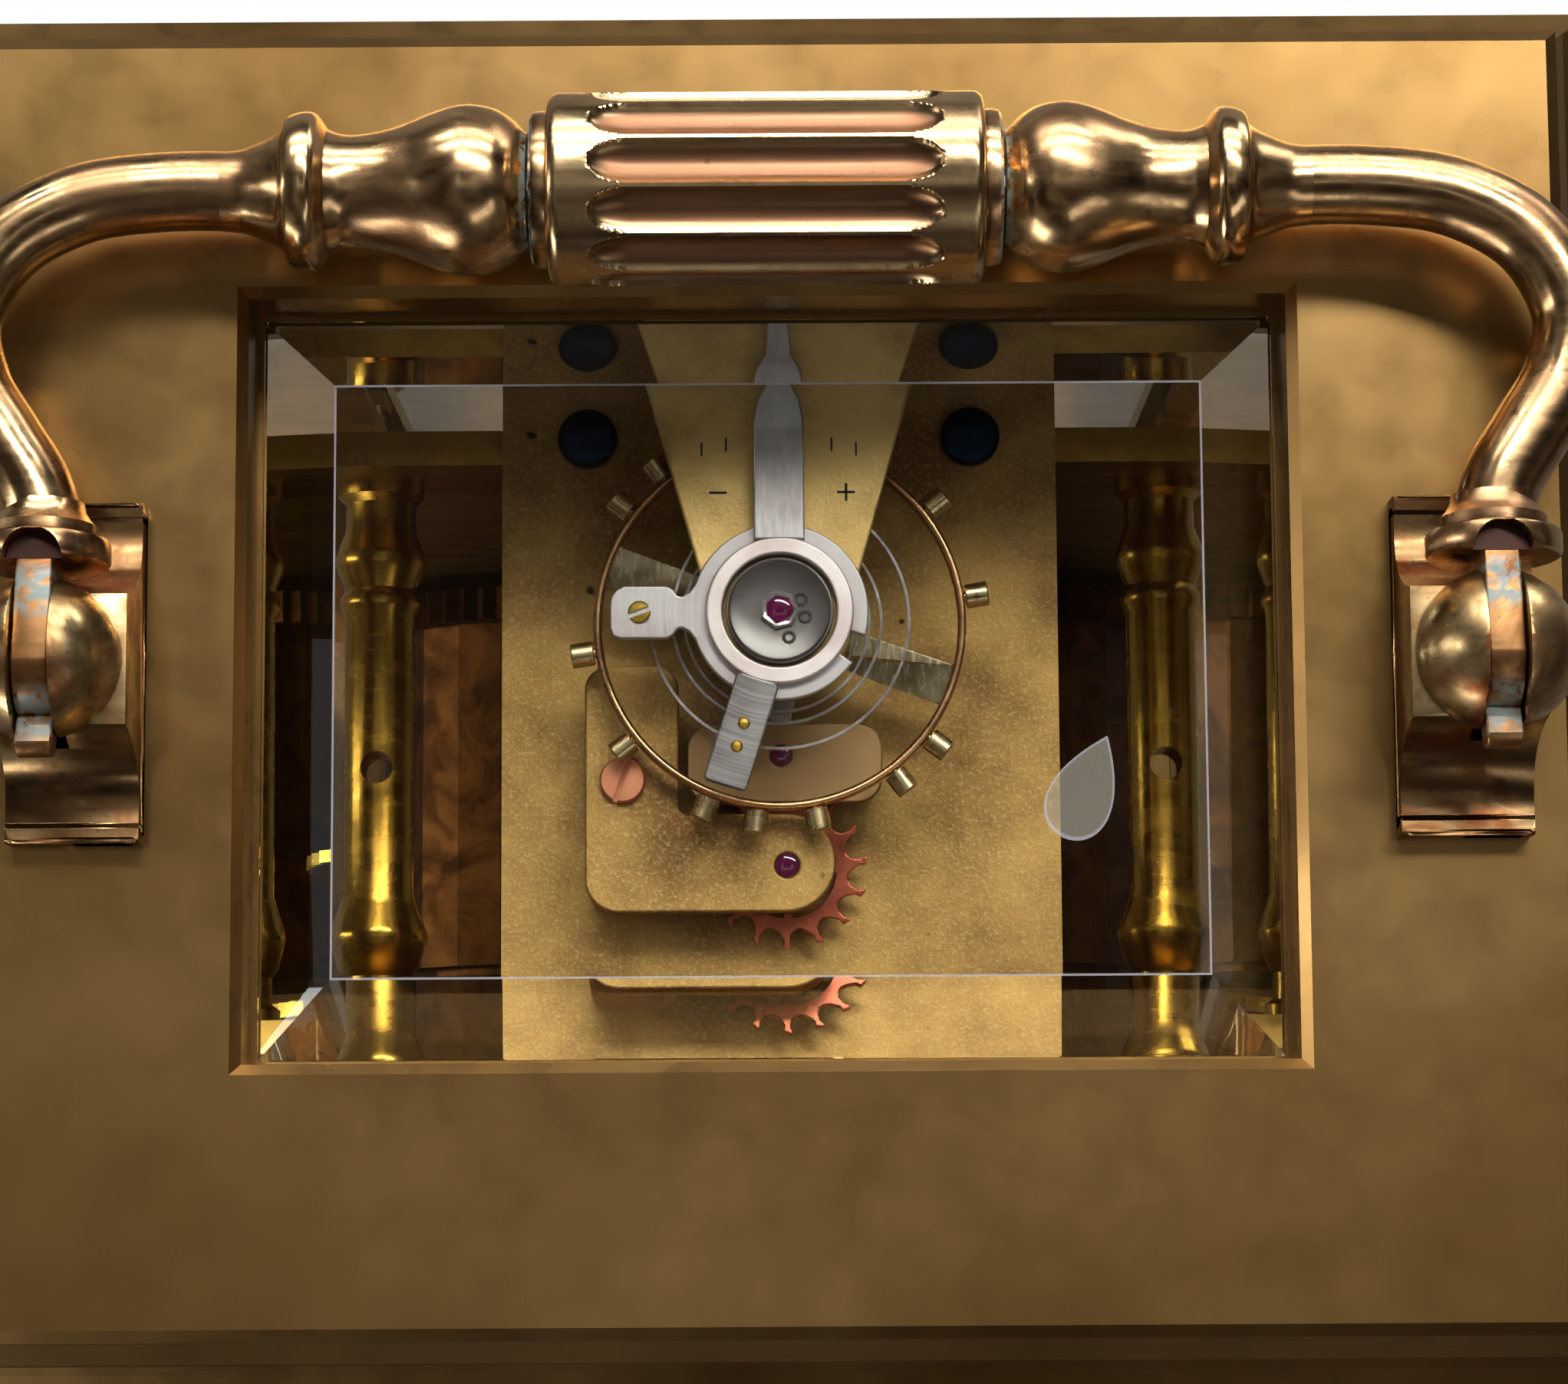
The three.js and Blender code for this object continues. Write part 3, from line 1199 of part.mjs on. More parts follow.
// Assembly
add('base_plinth', basePlinth(), brass);
add('base_plate', basePlate(), brass);
add('top_frame', topFrame(), brass);
add('top_glass', topGlass(), glass);
add('front_glass', frontGlass(), glass);
add('left_glass', sideGlass(-1), glass);
add('right_glass', sideGlass(1), glass);
for (const [depth, sy] of [['front', -1], ['back', 1]]) {
  for (const [name, sx] of [['left', -1], ['right', 1]]) {
    add(`column_${depth}_${name}`, cornerPost(sy < 0).scale([sx, sy, 1]), brass);
  }
}
add('door_frame', doorFrame(), brass);
add('door_glass', doorGlass(), glass);
add('door_knob', doorKnob(), brass);
add('dial', dial(), enamel);
add('fret_mask', fretMask(), gilt);
add('cannon_pinion', cannonPinion(), steel);
add('minute_hand', minuteHand(), blued);
add('minute_wheel', minuteWheel(), brass);
add('hour_wheel', hourWheel(), brass);
add('hour_hand', hourHand(), blued);
add('front_plate', frontPlate(), brass);
add('back_plate', backPlate(), brass);
for (const [name, side] of [['left', -1], ['right', 1]]) {
  add(`top_pillar_${name}`, movementPillar(side, topPillarZ, true), brass);
  add(`bottom_pillar_${name}`, movementPillar(side, bottomPillarZ, false), brass);
}
add('going_barrel', barrel(going, angleTo(going, centre)), brass);
add('strike_barrel', barrel(strike, 0), brass);
add('going_winding_arbor', windingArbor(going), steel);
add('strike_winding_arbor', windingArbor(strike), steel);
add('centre_wheel', centreWheel(), brass);
add('third_wheel', thirdWheel(), brass);
add('contrate_wheel', contrateWheel(), brass);
add('platform_plate', platformPlate(), gilt);
for (const [place, y] of [['back', backPlateY], ['front', frontPlateY - plateThickness]]) {
  for (const [name, side] of [['left', -1], ['right', 1]]) {
    add(`platform_screw_${place}_${name}`, platformScrew(side, y + plateThickness / 2), blued);
  }
}
add('escape_wheel', escapeWheel(), brass);
add('pallet_lever', palletLever(), steel);
add('escape_bridge', escapeBridge(), gilt);
add('escape_bridge_screw', bridgeScrew(), brass);
add('pallet_cock', palletCock(), gilt);
add('balance_wheel', balanceWheel(), brass);
add('balance_staff', balanceStaff(), steel);
add('hairspring', hairspring(), steel);
add('balance_cock', balanceCock(), gilt);
add('balance_end_cap', balanceEndCap(), steel);
add('stud_carrier', studCarrier(), steel);
add('regulator', regulator(), steel);
add('handle_grip', handleGrip(), brass);
add('handle_tie_rod', tieRod(), steel);
for (const [name, side] of [['left', -1], ['right', 1]]) {
  add(`handle_arm_${name}`, handleArm(side), brass);
  add(`handle_bracket_${name}`, bracket(side), brass);
  add(`handle_pin_${name}`, pivotPin(side), steel);
}

export default group;
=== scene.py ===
"""Looks for a brass carriage clock seen from above: handle, bevelled top glass and platform escapement.

Every surface is computed in millimetres and stored in metres. The camera looks down from a little in
front, as the photograph does. Pieces that the photograph shows close up stand for their CAD nodes with
finer surfaces of the same size; the others keep the CAD mesh and take a material.
"""
import math

import bpy
import numpy as np
from mathutils import Matrix, Vector


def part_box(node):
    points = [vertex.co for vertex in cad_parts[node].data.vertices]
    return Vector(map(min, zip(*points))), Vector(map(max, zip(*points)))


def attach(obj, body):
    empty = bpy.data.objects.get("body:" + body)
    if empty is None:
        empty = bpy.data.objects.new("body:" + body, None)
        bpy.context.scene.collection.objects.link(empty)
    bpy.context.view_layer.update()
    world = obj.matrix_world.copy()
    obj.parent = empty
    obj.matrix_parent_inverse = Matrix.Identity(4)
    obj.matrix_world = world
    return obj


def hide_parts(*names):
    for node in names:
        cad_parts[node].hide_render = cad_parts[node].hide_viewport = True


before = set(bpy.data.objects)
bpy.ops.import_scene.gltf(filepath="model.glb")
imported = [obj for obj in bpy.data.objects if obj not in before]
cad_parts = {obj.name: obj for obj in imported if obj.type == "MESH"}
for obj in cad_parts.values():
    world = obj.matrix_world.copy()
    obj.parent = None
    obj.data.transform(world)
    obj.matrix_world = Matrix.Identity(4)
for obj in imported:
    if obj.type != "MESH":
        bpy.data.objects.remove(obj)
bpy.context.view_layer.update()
MM = 0.001
SIDES = ((-1, "left"), (1, "right"))

# Levels and places, millimetres, as in the CAD source
DECK_Z = 16.0
FRAME_Z = 122.0
TOP_Z = 138.0
GLASS_TOP_Z = 136.4
GLASS_UNDER_Z = 132.4
PLATFORM_Z = 120.0
PIVOT_Z = 144.2
PIVOT_X = 33.2
COLUMN_AT = (33.4, 27.2)
COLUMN_RADIUS = 3.1
COLUMN_FLUTES = 8
CAPITAL_HEIGHT = 9.0
POST_INNER = (27.8, 21.0)
GRIP_REACH = 22.1
GRIP_LENGTH = 21.8
GRIP_RADIUS = 4.5
GRIP_FLUTES = 12
GRIP_RING = 0.8
ROD_RADIUS = 1.85
BALL_RADIUS = 3.73
BRACKET_WIDTH = 6.2
BRACKET_INSET = 0.8
TONGUE = 1.7
ARM_START = GRIP_LENGTH / 2 + 0.15
HANDLE_DROP = math.asin((PIVOT_Z - 142.9) / GRIP_REACH)
GRIP_AXIS = (GRIP_REACH * math.cos(HANDLE_DROP) * MM, (PIVOT_Z - GRIP_REACH * math.sin(HANDLE_DROP)) * MM)
PLATFORM_X = 0.5
BALANCE = (0.5, 4.0)
BALANCE_Z = 5.1
ESCAPE = (0.8, -7.9)
LEVER_Y = -2.3
PILLAR_X = 20.7
PILLAR_Z = 112
PLATES_Y = (-15.1, 13.5)

# Starts of CAD nodes' names under the body and material slot that they share; the first that fits holds
SEATS = {
    ("case", "polished_brass"): ("handle_bracket", "column", "top_pillar", "escape_bridge_screw"),
    ("case", "gilt_brass"): ("fret_mask", "balance_cock", "pallet_cock", "escape_bridge"),
    ("case", "steel"): ("stud_carrier", "balance_end_cap", "hairspring"),
    ("case", "blued_steel"): ("platform_screw",), ("case", "bevelled_glass"): ("top_glass",),
    ("case", "enamel"): ("dial",), ("handle", "polished_brass"): ("handle",),
    ("regulator", "steel"): ("regulator",), ("balance", "steel"): ("balance_staff",),
    ("balance", "polished_brass"): ("balance_wheel",), ("escape", "polished_brass"): ("escape_wheel",),
    ("lever", "steel"): ("pallet_lever",)}

# Surfaces
SOFT_EDGE = math.radians(35)
ON_AXIS = 0.001


def link(name, data):
    """Puts data into the scene as a new object at the origin."""
    obj = bpy.data.objects.new(name, data)
    bpy.context.scene.collection.objects.link(obj)
    return obj


def new_mesh(name, points, faces):
    """A mesh from points (n x 3, millimetres) and lists of corner numbers."""
    mesh = bpy.data.meshes.new(name)
    mesh.from_pydata(np.asarray(points, dtype=float) * MM, [], [list(f) for f in faces])
    return mesh


def stand_for(node, name, mesh, material, smooth=SOFT_EDGE):
    """Makes a mesh a piece that stands for a CAD node: it rides the node's body, and the node is hidden.

    Edges sharper than the given angle stay sharp, and the rest is shaded smooth.
    """
    body, own_slot = next(seat for seat, starts in SEATS.items() if node.startswith(starts))
    mesh.validate()
    mesh.polygons.foreach_set("use_smooth", np.ones(len(mesh.polygons), dtype=bool))
    mesh.set_sharp_from_angle(angle=smooth)
    mesh.materials.clear()
    mesh.materials.append(material)
    obj = link(name, mesh)
    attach(obj, body)
    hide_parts(node)


def surface_for(node, name, points, faces, material, smooth=SOFT_EDGE):
    """A piece that stands for a CAD node, from points and faces."""
    stand_for(node, name, new_mesh(name, points, faces), material, smooth)


def grid_faces(rows, cols):
    """Quads between neighbouring rows and columns of a grid of points, whose columns close into a ring."""
    r = np.arange(rows - 1)[:, None]
    c = np.arange(cols)[None, :]
    c2 = (c + 1) % cols
    quads = np.stack([r * cols + c, r * cols + c2, (r + 1) * cols + c2, (r + 1) * cols + c], axis=-1)
    return quads.reshape(-1, 4)


def turned(profile, sides=64):
    """A turned surface round Z: each (radius, height) point is swept round the circle, in even steps."""
    p = np.array(profile, dtype=float)
    p[:, 0] = np.maximum(p[:, 0], ON_AXIS)
    a = np.linspace(0, 2 * np.pi, sides, endpoint=False)
    points = np.stack([
        p[:, :1] * np.cos(a), p[:, :1] * np.sin(a), np.repeat(p[:, 1:], sides, axis=1)], axis=-1)
    return points.reshape(-1, 3), grid_faces(len(p), sides)


def rod(radius, low, high):
    """The profile of a plain round bar."""
    return [(0, low), (radius, low), (radius, high), (0, high)]


def smooth_curve(points, steps):
    """Points along a curve that passes through every given point with even tangents, several per span.

    Each span is the cubic whose ends have the given places and, as slopes, half the step from the point
    before to the point after.
    """
    p = np.asarray(points, dtype=float)
    before = np.vstack([2 * p[0] - p[1], p[:-1]])
    after = np.vstack([p[1:], 2 * p[-1] - p[-2]])
    slope = (after - before) / 2
    t = np.linspace(0, 1, steps, endpoint=False)[None, :, None]
    a, b = p[:-1, None], p[1:, None]
    ma, mb = slope[:-1, None], slope[1:, None]
    span = ((2 * t**3 - 3 * t**2 + 1) * a + (t**3 - 2 * t**2 + t) * ma
            + (-2 * t**3 + 3 * t**2) * b + (t**3 - t**2) * mb)
    return np.vstack([span.reshape(-1, p.shape[1]), p[-1:]])


def swept(path, radius, sides):
    """A round rod along a level curve: a circle of one radius stands square to the curve at every point."""
    along = np.gradient(path, axis=0)
    along /= np.linalg.norm(along, axis=1)[:, None]
    side = np.cross(along, [0.0, 0.0, 1.0])
    side /= np.linalg.norm(side, axis=1)[:, None]
    over = np.cross(side, along)
    a = np.linspace(0, 2 * np.pi, sides, endpoint=False)
    ring = side[:, None] * np.cos(a)[None, :, None] + over[:, None] * np.sin(a)[None, :, None]
    faces = grid_faces(len(path), sides).tolist()
    faces.append(list(range(sides)))
    faces.append(list(range((len(path) - 1) * sides, len(path) * sides))[::-1])
    return (path[:, None] + ring * radius).reshape(-1, 3), faces


def along_x(points):
    """Lays a piece that was turned round Z along X."""
    return np.stack([points[:, 2], points[:, 1], -points[:, 0]], axis=1)


def along_y(points):
    """Lays a piece that was turned round Z along Y."""
    return np.stack([points[:, 0], points[:, 2], -points[:, 1]], axis=1)


def spun(points, angle):
    """Points turned round Z by an angle in radians."""
    c, s = math.cos(angle), math.sin(angle)
    return np.column_stack([
        points[:, 0] * c - points[:, 1] * s, points[:, 0] * s + points[:, 1] * c, points[:, 2]])


def in_handle(points):
    """From the handle's own frame, pivot axis at the origin, to its folded place: tipped and raised."""
    c, s = math.cos(-HANDLE_DROP), math.sin(-HANDLE_DROP)
    p = np.asarray(points, dtype=float)
    return np.stack([p[:, 0], p[:, 1] * c - p[:, 2] * s, p[:, 1] * s + p[:, 2] * c + PIVOT_Z], axis=1)


def plate_mesh(name, outlines, z0, z1, bevel=0.08):
    """A flat plate between two heights with rounded edges: the first outline is outside, the rest holes."""
    curve = bpy.data.curves.new(name, "CURVE")
    curve.dimensions = "2D"
    curve.fill_mode = "BOTH"
    bevel = min(bevel, (z1 - z0) * 0.45)
    curve.extrude = ((z1 - z0) / 2 - bevel) * MM
    curve.bevel_depth = bevel * MM
    curve.bevel_resolution = 2
    curve.offset = -bevel * MM
    for outline in outlines:
        pts = np.asarray(outline, dtype=float) * MM
        spline = curve.splines.new("POLY")
        spline.points.add(len(pts) - 1)
        flat = np.column_stack([pts, np.zeros(len(pts)), np.ones(len(pts))])
        spline.points.foreach_set("co", flat.ravel())
        spline.use_cyclic_u = True
    holder = link(name + "_curve", curve)
    mesh = bpy.data.meshes.new_from_object(holder.evaluated_get(bpy.context.evaluated_depsgraph_get()))
    bpy.data.objects.remove(holder)
    mesh.transform(Matrix.Translation((0, 0, (z0 + z1) / 2 * MM)))
    return mesh


def arc(cx, cy, r, a0, a1, count=24):
    """Points on a circle's arc, angles in degrees."""
    a = np.radians(np.linspace(a0, a1, count))
    return np.column_stack([cx + r * np.cos(a), cy + r * np.sin(a)])


def circle(cx, cy, r, count=64):
    """A whole circle as a closed outline."""
    return arc(cx, cy, r, 0, 360, count + 1)[:-1]


def rounded(x0, x1, y0, y1, r, count=10):
    """A rectangle outline with four round corners."""
    return np.vstack([
        arc(x1 - r, y1 - r, r, 0, 90, count), arc(x0 + r, y1 - r, r, 90, 180, count),
        arc(x0 + r, y0 + r, r, 180, 270, count), arc(x1 - r, y0 + r, r, 270, 360, count)])


def prism(outline, low, high):
    """Points and faces of a closed outline raised from one height to another."""
    n = len(outline)
    points = np.vstack([np.column_stack([outline, np.full(n, z)]) for z in (low, high)])
    return points, grid_faces(2, n).tolist() + [list(range(n))[::-1], list(range(n, 2 * n))]


def block(x0, x1, y0, y1, z0, z1):
    """Corner points and faces of a plain block."""
    p = np.array([[x, y, z] for z in (z0, z1) for y in (y0, y1) for x in (x0, x1)], dtype=float)
    return p, [[0, 2, 3, 1], [4, 5, 7, 6], [0, 1, 5, 4], [2, 6, 7, 3], [0, 4, 6, 2], [1, 3, 7, 5]]


def loose(name, points, faces):
    """An object that only helps to shape others, and is removed by that."""
    mesh = new_mesh(name, points, faces)
    mesh.validate()
    return link(name, mesh)


def shaped(obj, cutters=(), joined=(), bevel=0.0):
    """Joins others to a helper object, cuts others from it, rounds its sharp edges, and gives the mesh."""
    for other, operation in [(o, "UNION") for o in joined] + [(o, "DIFFERENCE") for o in cutters]:
        step = obj.modifiers.new("cut", "BOOLEAN")
        step.operation = operation
        step.object = other
        step.solver = "EXACT"
    if bevel:
        edge = obj.modifiers.new("edge", "BEVEL")
        edge.width = bevel * MM
        edge.segments = 2
        edge.limit_method = "ANGLE"
        edge.angle_limit = math.radians(45)
        edge.harden_normals = False
    mesh = bpy.data.meshes.new_from_object(obj.evaluated_get(bpy.context.evaluated_depsgraph_get()))
    for other in [obj, *joined, *cutters]:
        bpy.data.objects.remove(other)
    return mesh


def points_of(mesh):
    """Corner positions of a mesh in millimetres."""
    flat = np.empty(len(mesh.vertices) * 3)
    mesh.vertices.foreach_get("co", flat)
    return flat.reshape(-1, 3) / MM


def faces_of(mesh):
    """Corner numbers of each face of a mesh."""
    return [list(face.vertices) for face in mesh.polygons]


# Materials
def linear(hex_colour):
    """A #rrggbb colour as the linear light values that a shader mixes."""
    channels = [int(hex_colour[i:i + 2], 16) / 255 for i in (1, 3, 5)]
    return [c / 12.92 if c <= 0.04045 else ((c + 0.055) / 1.055) ** 2.4 for c in channels] + [1.0]


def every(size):
    """The scale of a noise whose blotches lie this many millimetres apart."""
    return 1 / (size * MM)


def feed(tree, socket, value):
    """Gives a node's input a number, a #rrggbb colour or a link."""
    if isinstance(value, bpy.types.NodeSocket):
        tree.links.new(value, socket)
    else:
        socket.default_value = linear(value) if isinstance(value, str) else value


def add_node(tree, kind, output, **wanted):
    """Adds one shader node with its settings and links, and gives one of its outputs.

    Each word is a setting of the node or, where the node has none of that name, an input: low lines stand
    for spaces, and in_6 is the input numbered 6.
    """
    node = tree.nodes.new("ShaderNode" + kind)
    for word, value in wanted.items():
        if hasattr(node, word):
            setattr(node, word, value)
        else:
            socket = int(word[3:]) if word.startswith("in_") else word.replace("_", " ")
            feed(tree, node.inputs[socket], value)
    return node.outputs[output]


class Finish:
    """One material: a principled surface whose patterns read the object's own coordinates."""

    def __init__(self, name, colour, metallic=0.0, roughness=0.5, **sockets):
        self.material = bpy.data.materials.new(name)
        self.material.use_nodes = True
        self.tree = self.material.node_tree
        self.surface = self.tree.nodes["Principled BSDF"]
        self.set("Base Color", colour)
        self.set("Metallic", metallic)
        self.set("Roughness", roughness)
        for socket, value in sockets.items():
            self.set(socket.replace("_", " "), value)
        self.place = self.add("TexCoord", "Object")

    def set(self, socket, value):
        """Gives one of the surface's own sockets a value or a link."""
        feed(self.tree, self.surface.inputs[socket], value)

    def add(self, kind, output, **wanted):
        """Adds a node to this material."""
        return add_node(self.tree, kind, output, **wanted)

    def distance(self, first, a, second, b):
        """How far a point is from the line that crosses two named axes at a and b, in metres.

        It is the root of the sum of both squares.
        """
        spans = [self.add("Math", 0, operation="SUBTRACT", in_1=middle,
                          in_0=self.add("SeparateXYZ", axis, Vector=self.place))
                 for axis, middle in ((first, a), (second, b))]
        squares = [self.add("Math", 0, operation="MULTIPLY", in_0=span, in_1=span) for span in spans]
        total = self.add("Math", 0, operation="ADD", in_0=squares[0], in_1=squares[1])
        return self.add("Math", 0, operation="SQRT", in_0=total)

    def instead(self, ray, shader):
        """Shows another shader in place of the surface to one kind of ray."""
        pick = self.add("MixShader", 0, in_0=self.add("LightPath", ray), in_1=self.surface.outputs[0],
                        in_2=shader)
        feed(self.tree, self.tree.nodes["Material Output"].inputs["Surface"], pick)


# CREASE_SHADE_BROWN is painted shade for hollows; SPOT_BROWN and FOOT_BROWN darken small spots and the lowest
# part
CREASE_SHADE_BROWN, SPOT_BROWN, FOOT_BROWN = "#2e150a", "#4a2412", "#5c3519"
CHALK = "#7d8d8a"
GRAIN_GLINT = "#dcc28e"
STEEL_GLINT = "#f1e7e2"


def polished_brass(name, bright, dull, rough=0.2, tarnish=0.6, residue=None, patches=None, flutes=False,
                   foot=None, specks=0.5, crease_shade=0.85):
    """Old lacquered brass: bright where it is handled, with streaks and tarnish, and painted shade in
    creases.

    residue names an axis and a span in metres where a pale blue-green crust has settled. patches is the
    colour of redder blotches, painted reflections of red surroundings. flutes keeps the dull colour on the
    floors of the grip's flutes. foot is a span of heights in metres below which the piece is browner.
    specks is how strongly small dark spots show, and crease_shade how strongly painted shade darkens hollows.
    """
    f = Finish(name, bright, metallic=1.0)
    clouds = f.add("TexNoise", "Fac", Vector=f.place, Scale=every(3.846), Detail=5, Roughness=0.65,
                   Distortion=0.8)
    spots = f.add("TexNoise", "Fac", Vector=f.place, Scale=every(0.5263), Detail=3, Roughness=0.6)
    bend = f.add("NewGeometry", "Pointiness")
    crease = f.add("MapRange", "Result", Value=bend, From_Min=0.5, From_Max=0.45)
    cover = f.add("MapRange", "Result", Value=clouds, From_Min=0.4, From_Max=0.62)
    age = f.add("Math", 0, operation="MULTIPLY", in_0=cover, in_1=tarnish)
    if flutes:
        radius = f.distance("Y", GRIP_AXIS[0], "Z", GRIP_AXIS[1])
        on_floor = f.add("MapRange", "Result", Value=radius, From_Min=(GRIP_RADIUS - 0.5) * MM,
                         From_Max=(GRIP_RADIUS - 0.15) * MM, To_Min=0.85, To_Max=0)
        age = f.add("Math", 0, operation="MAXIMUM", in_0=age, in_1=on_floor)
    colour = f.add("Mix", 2, data_type="RGBA", in_0=age, in_6=bright, in_7=dull)
    # painted reflection: redder blotches stand for red surroundings mirrored in the brass
    if patches:
        blots = f.add("TexNoise", "Fac", Vector=f.place, Scale=every(5.882), Detail=3, Roughness=0.5,
                      Distortion=1.2)
        painted_red_reflections = f.add("MapRange", "Result", Value=blots, From_Min=0.53, From_Max=0.64, To_Max=0.75)
        colour = f.add("Mix", 2, data_type="RGBA", in_0=painted_red_reflections, in_6=colour, in_7=patches)
    if foot:
        height = f.add("SeparateXYZ", "Z", Vector=f.place)
        low = f.add("MapRange", "Result", Value=height, From_Min=foot[1], From_Max=foot[0], To_Max=0.72)
        colour = f.add("Mix", 2, data_type="RGBA", in_0=low, in_6=colour, in_7=FOOT_BROWN)
    # painted shade: hollows found by pointiness are darkened towards near-black brown
    dark = f.add("Math", 0, operation="MULTIPLY", in_0=crease, in_1=crease_shade)
    colour = f.add("Mix", 2, data_type="RGBA", in_0=dark, in_6=colour, in_7=CREASE_SHADE_BROWN)
    flecks = f.add("MapRange", "Result", Value=spots, From_Min=0.64, From_Max=0.76, To_Max=specks)
    colour = f.add("Mix", 2, data_type="RGBA", in_0=flecks, in_6=colour, in_7=SPOT_BROWN)
    if residue:
        axis, low, high = residue
        place = f.add("Math", 0, operation="ABSOLUTE", in_0=f.add("SeparateXYZ", axis, Vector=f.place))
        off = f.add("Math", 0, operation="SUBTRACT", in_0=place, in_1=(low + high) / 2)
        off = f.add("Math", 0, operation="ABSOLUTE", in_0=off)
        near = f.add("MapRange", "Result", Value=off, From_Min=(high - low) / 4, From_Max=(high - low) / 2,
                     To_Min=1, To_Max=0)
        grains = f.add("TexNoise", "Fac", Vector=f.place, Scale=every(0.6667), Detail=4, Roughness=0.7)
        grains = f.add("MapRange", "Result", Value=grains, From_Min=0.4, From_Max=0.52, To_Max=0.9)
        crust = f.add("Math", 0, operation="MULTIPLY", in_0=near, in_1=grains)
        colour = f.add("Mix", 2, data_type="RGBA", in_0=crust, in_6=colour, in_7=CHALK)
        f.set("Metallic", f.add("MapRange", "Result", Value=crust, To_Min=1, To_Max=0.1))
    f.set("Base Color", colour)
    drawn_out = f.add("Mapping", "Vector", Vector=f.place, Scale=(0.12, 1, 1))
    streaks = f.add("TexNoise", "Fac", Vector=drawn_out, Scale=every(1.111), Detail=3, Roughness=0.6)
    grain = f.add("MapRange", "Result", Value=streaks, From_Min=0.3, From_Max=0.7, To_Min=rough - 0.05,
                  To_Max=rough + 0.08)
    dulled = f.add("Math", 0, operation="MULTIPLY", in_0=age, in_1=0.2)
    f.set("Roughness", f.add("Math", 0, operation="ADD", in_0=grain, in_1=dulled))
    waves = f.add("TexNoise", "Fac", Vector=f.place, Scale=every(2.381), Detail=3, Roughness=0.5)
    scratches = f.add("Math", 0, operation="MULTIPLY", in_0=streaks, in_1=0.5)
    relief = f.add("Math", 0, operation="ADD", in_0=waves, in_1=scratches)
    f.set("Normal", f.add("Bump", "Normal", Strength=0.14, Distance=0.12 * MM, Height=relief))
    return f.material


def satin_brass(name, colour, dull):
    """Lacquered cast brass: a smooth soft gloss, clouded a little where the lacquer has worn and dulled."""
    f = Finish(name, colour, metallic=1.0)
    cloud = f.add("TexNoise", "Fac", Vector=f.place, Scale=every(16.667), Detail=3, Roughness=0.5)
    wear = f.add("TexNoise", "Fac", Vector=f.place, Scale=every(2.857), Detail=2, Roughness=0.5,
                 Distortion=0.3)
    cover = f.add("MapRange", "Result", Value=cloud, From_Min=0.35, From_Max=0.7)
    f.set("Base Color", f.add("Mix", 2, data_type="RGBA", in_0=cover, in_6=colour, in_7=dull))
    f.set("Roughness", f.add("MapRange", "Result", Value=wear, From_Min=0.3, From_Max=0.7, To_Min=0.26,
                             To_Max=0.31))
    return f.material


def gilt_plate(name, light, dark):
    """Frosted gilding: matt tan-gold with a fine grain, painted glints on the grain, and a few dark specks.

    The real frosting is a few hundredths of a millimetre wide; it is drawn 0.24 mm wide so that it shows.
    """
    f = Finish(name, light, metallic=0.85)
    grain = f.add("TexNoise", "Fac", Vector=f.place, Scale=every(0.2381), Detail=3, Roughness=0.75)
    cloud = f.add("TexNoise", "Fac", Vector=f.place, Scale=every(7.692), Detail=4, Roughness=0.6)
    cover = f.add("MapRange", "Result", Value=cloud, From_Min=0.38, From_Max=0.66)
    colour = f.add("Mix", 2, data_type="RGBA", in_0=cover, in_6=light, in_7=dark)
    # painted glints: the grain's high points are lightened towards a pale gold
    glints = f.add("MapRange", "Result", Value=grain, From_Min=0.5, From_Max=0.75, To_Max=0.4)
    colour = f.add("Mix", 2, data_type="RGBA", in_0=glints, in_6=colour, in_7=GRAIN_GLINT)
    dirt = f.add("TexNoise", "Fac", Vector=f.place, Scale=every(1.4286), Detail=1, Roughness=0.3)
    specks = f.add("MapRange", "Result", Value=dirt, From_Min=0.77, From_Max=0.8)
    f.set("Base Color", f.add("Mix", 2, data_type="RGBA", in_0=specks, in_6=colour, in_7="#33200f"))
    f.set("Roughness", f.add("MapRange", "Result", Value=grain, From_Min=0.2, From_Max=0.8, To_Min=0.5,
                             To_Max=0.66))
    f.set("Normal", f.add("Bump", "Normal", Strength=0.8, Distance=0.04 * MM, Height=grain))
    return f.material


def grained_steel(name, colour, dull, rough, scale=None):
    """Flat polished metal: a grain stretched by a scale, or in circles about the balance, and a tarnish.

    The real grain is finer than the render can show; it is drawn 0.19 mm wide.
    """
    f = Finish(name, colour, metallic=0.95)
    if scale:
        along, rise = f.add("Mapping", "Vector", Vector=f.place, Scale=scale), 0.7
    else:
        radius = f.distance("X", BALANCE[0] * MM, "Y", BALANCE[1] * MM)
        along, rise = f.add("CombineXYZ", "Vector", X=radius), 0.6
    grain = f.add("TexNoise", "Fac", Vector=along, Scale=every(0.1923), Detail=3, Roughness=rise)
    cloud = f.add("TexNoise", "Fac", Vector=f.place, Scale=every(3.125), Detail=3, Roughness=0.5)
    cover = f.add("MapRange", "Result", Value=cloud, From_Min=0.4, From_Max=0.72)
    tone = f.add("Mix", 2, data_type="RGBA", in_0=cover, in_6=colour, in_7=dull)
    glints = f.add("MapRange", "Result", Value=grain, From_Min=0.45, From_Max=0.75, To_Max=0.25)
    f.set("Base Color", f.add("Mix", 2, data_type="RGBA", in_0=glints, in_6=tone, in_7=STEEL_GLINT))
    f.set("Roughness", f.add("MapRange", "Result", Value=grain, From_Min=0.3, From_Max=0.7,
                             To_Min=rough - 0.04, To_Max=rough + 0.06))
    f.set("Normal", f.add("Bump", "Normal", Strength=0.1, Distance=0.01 * MM, Height=grain))
    return f.material


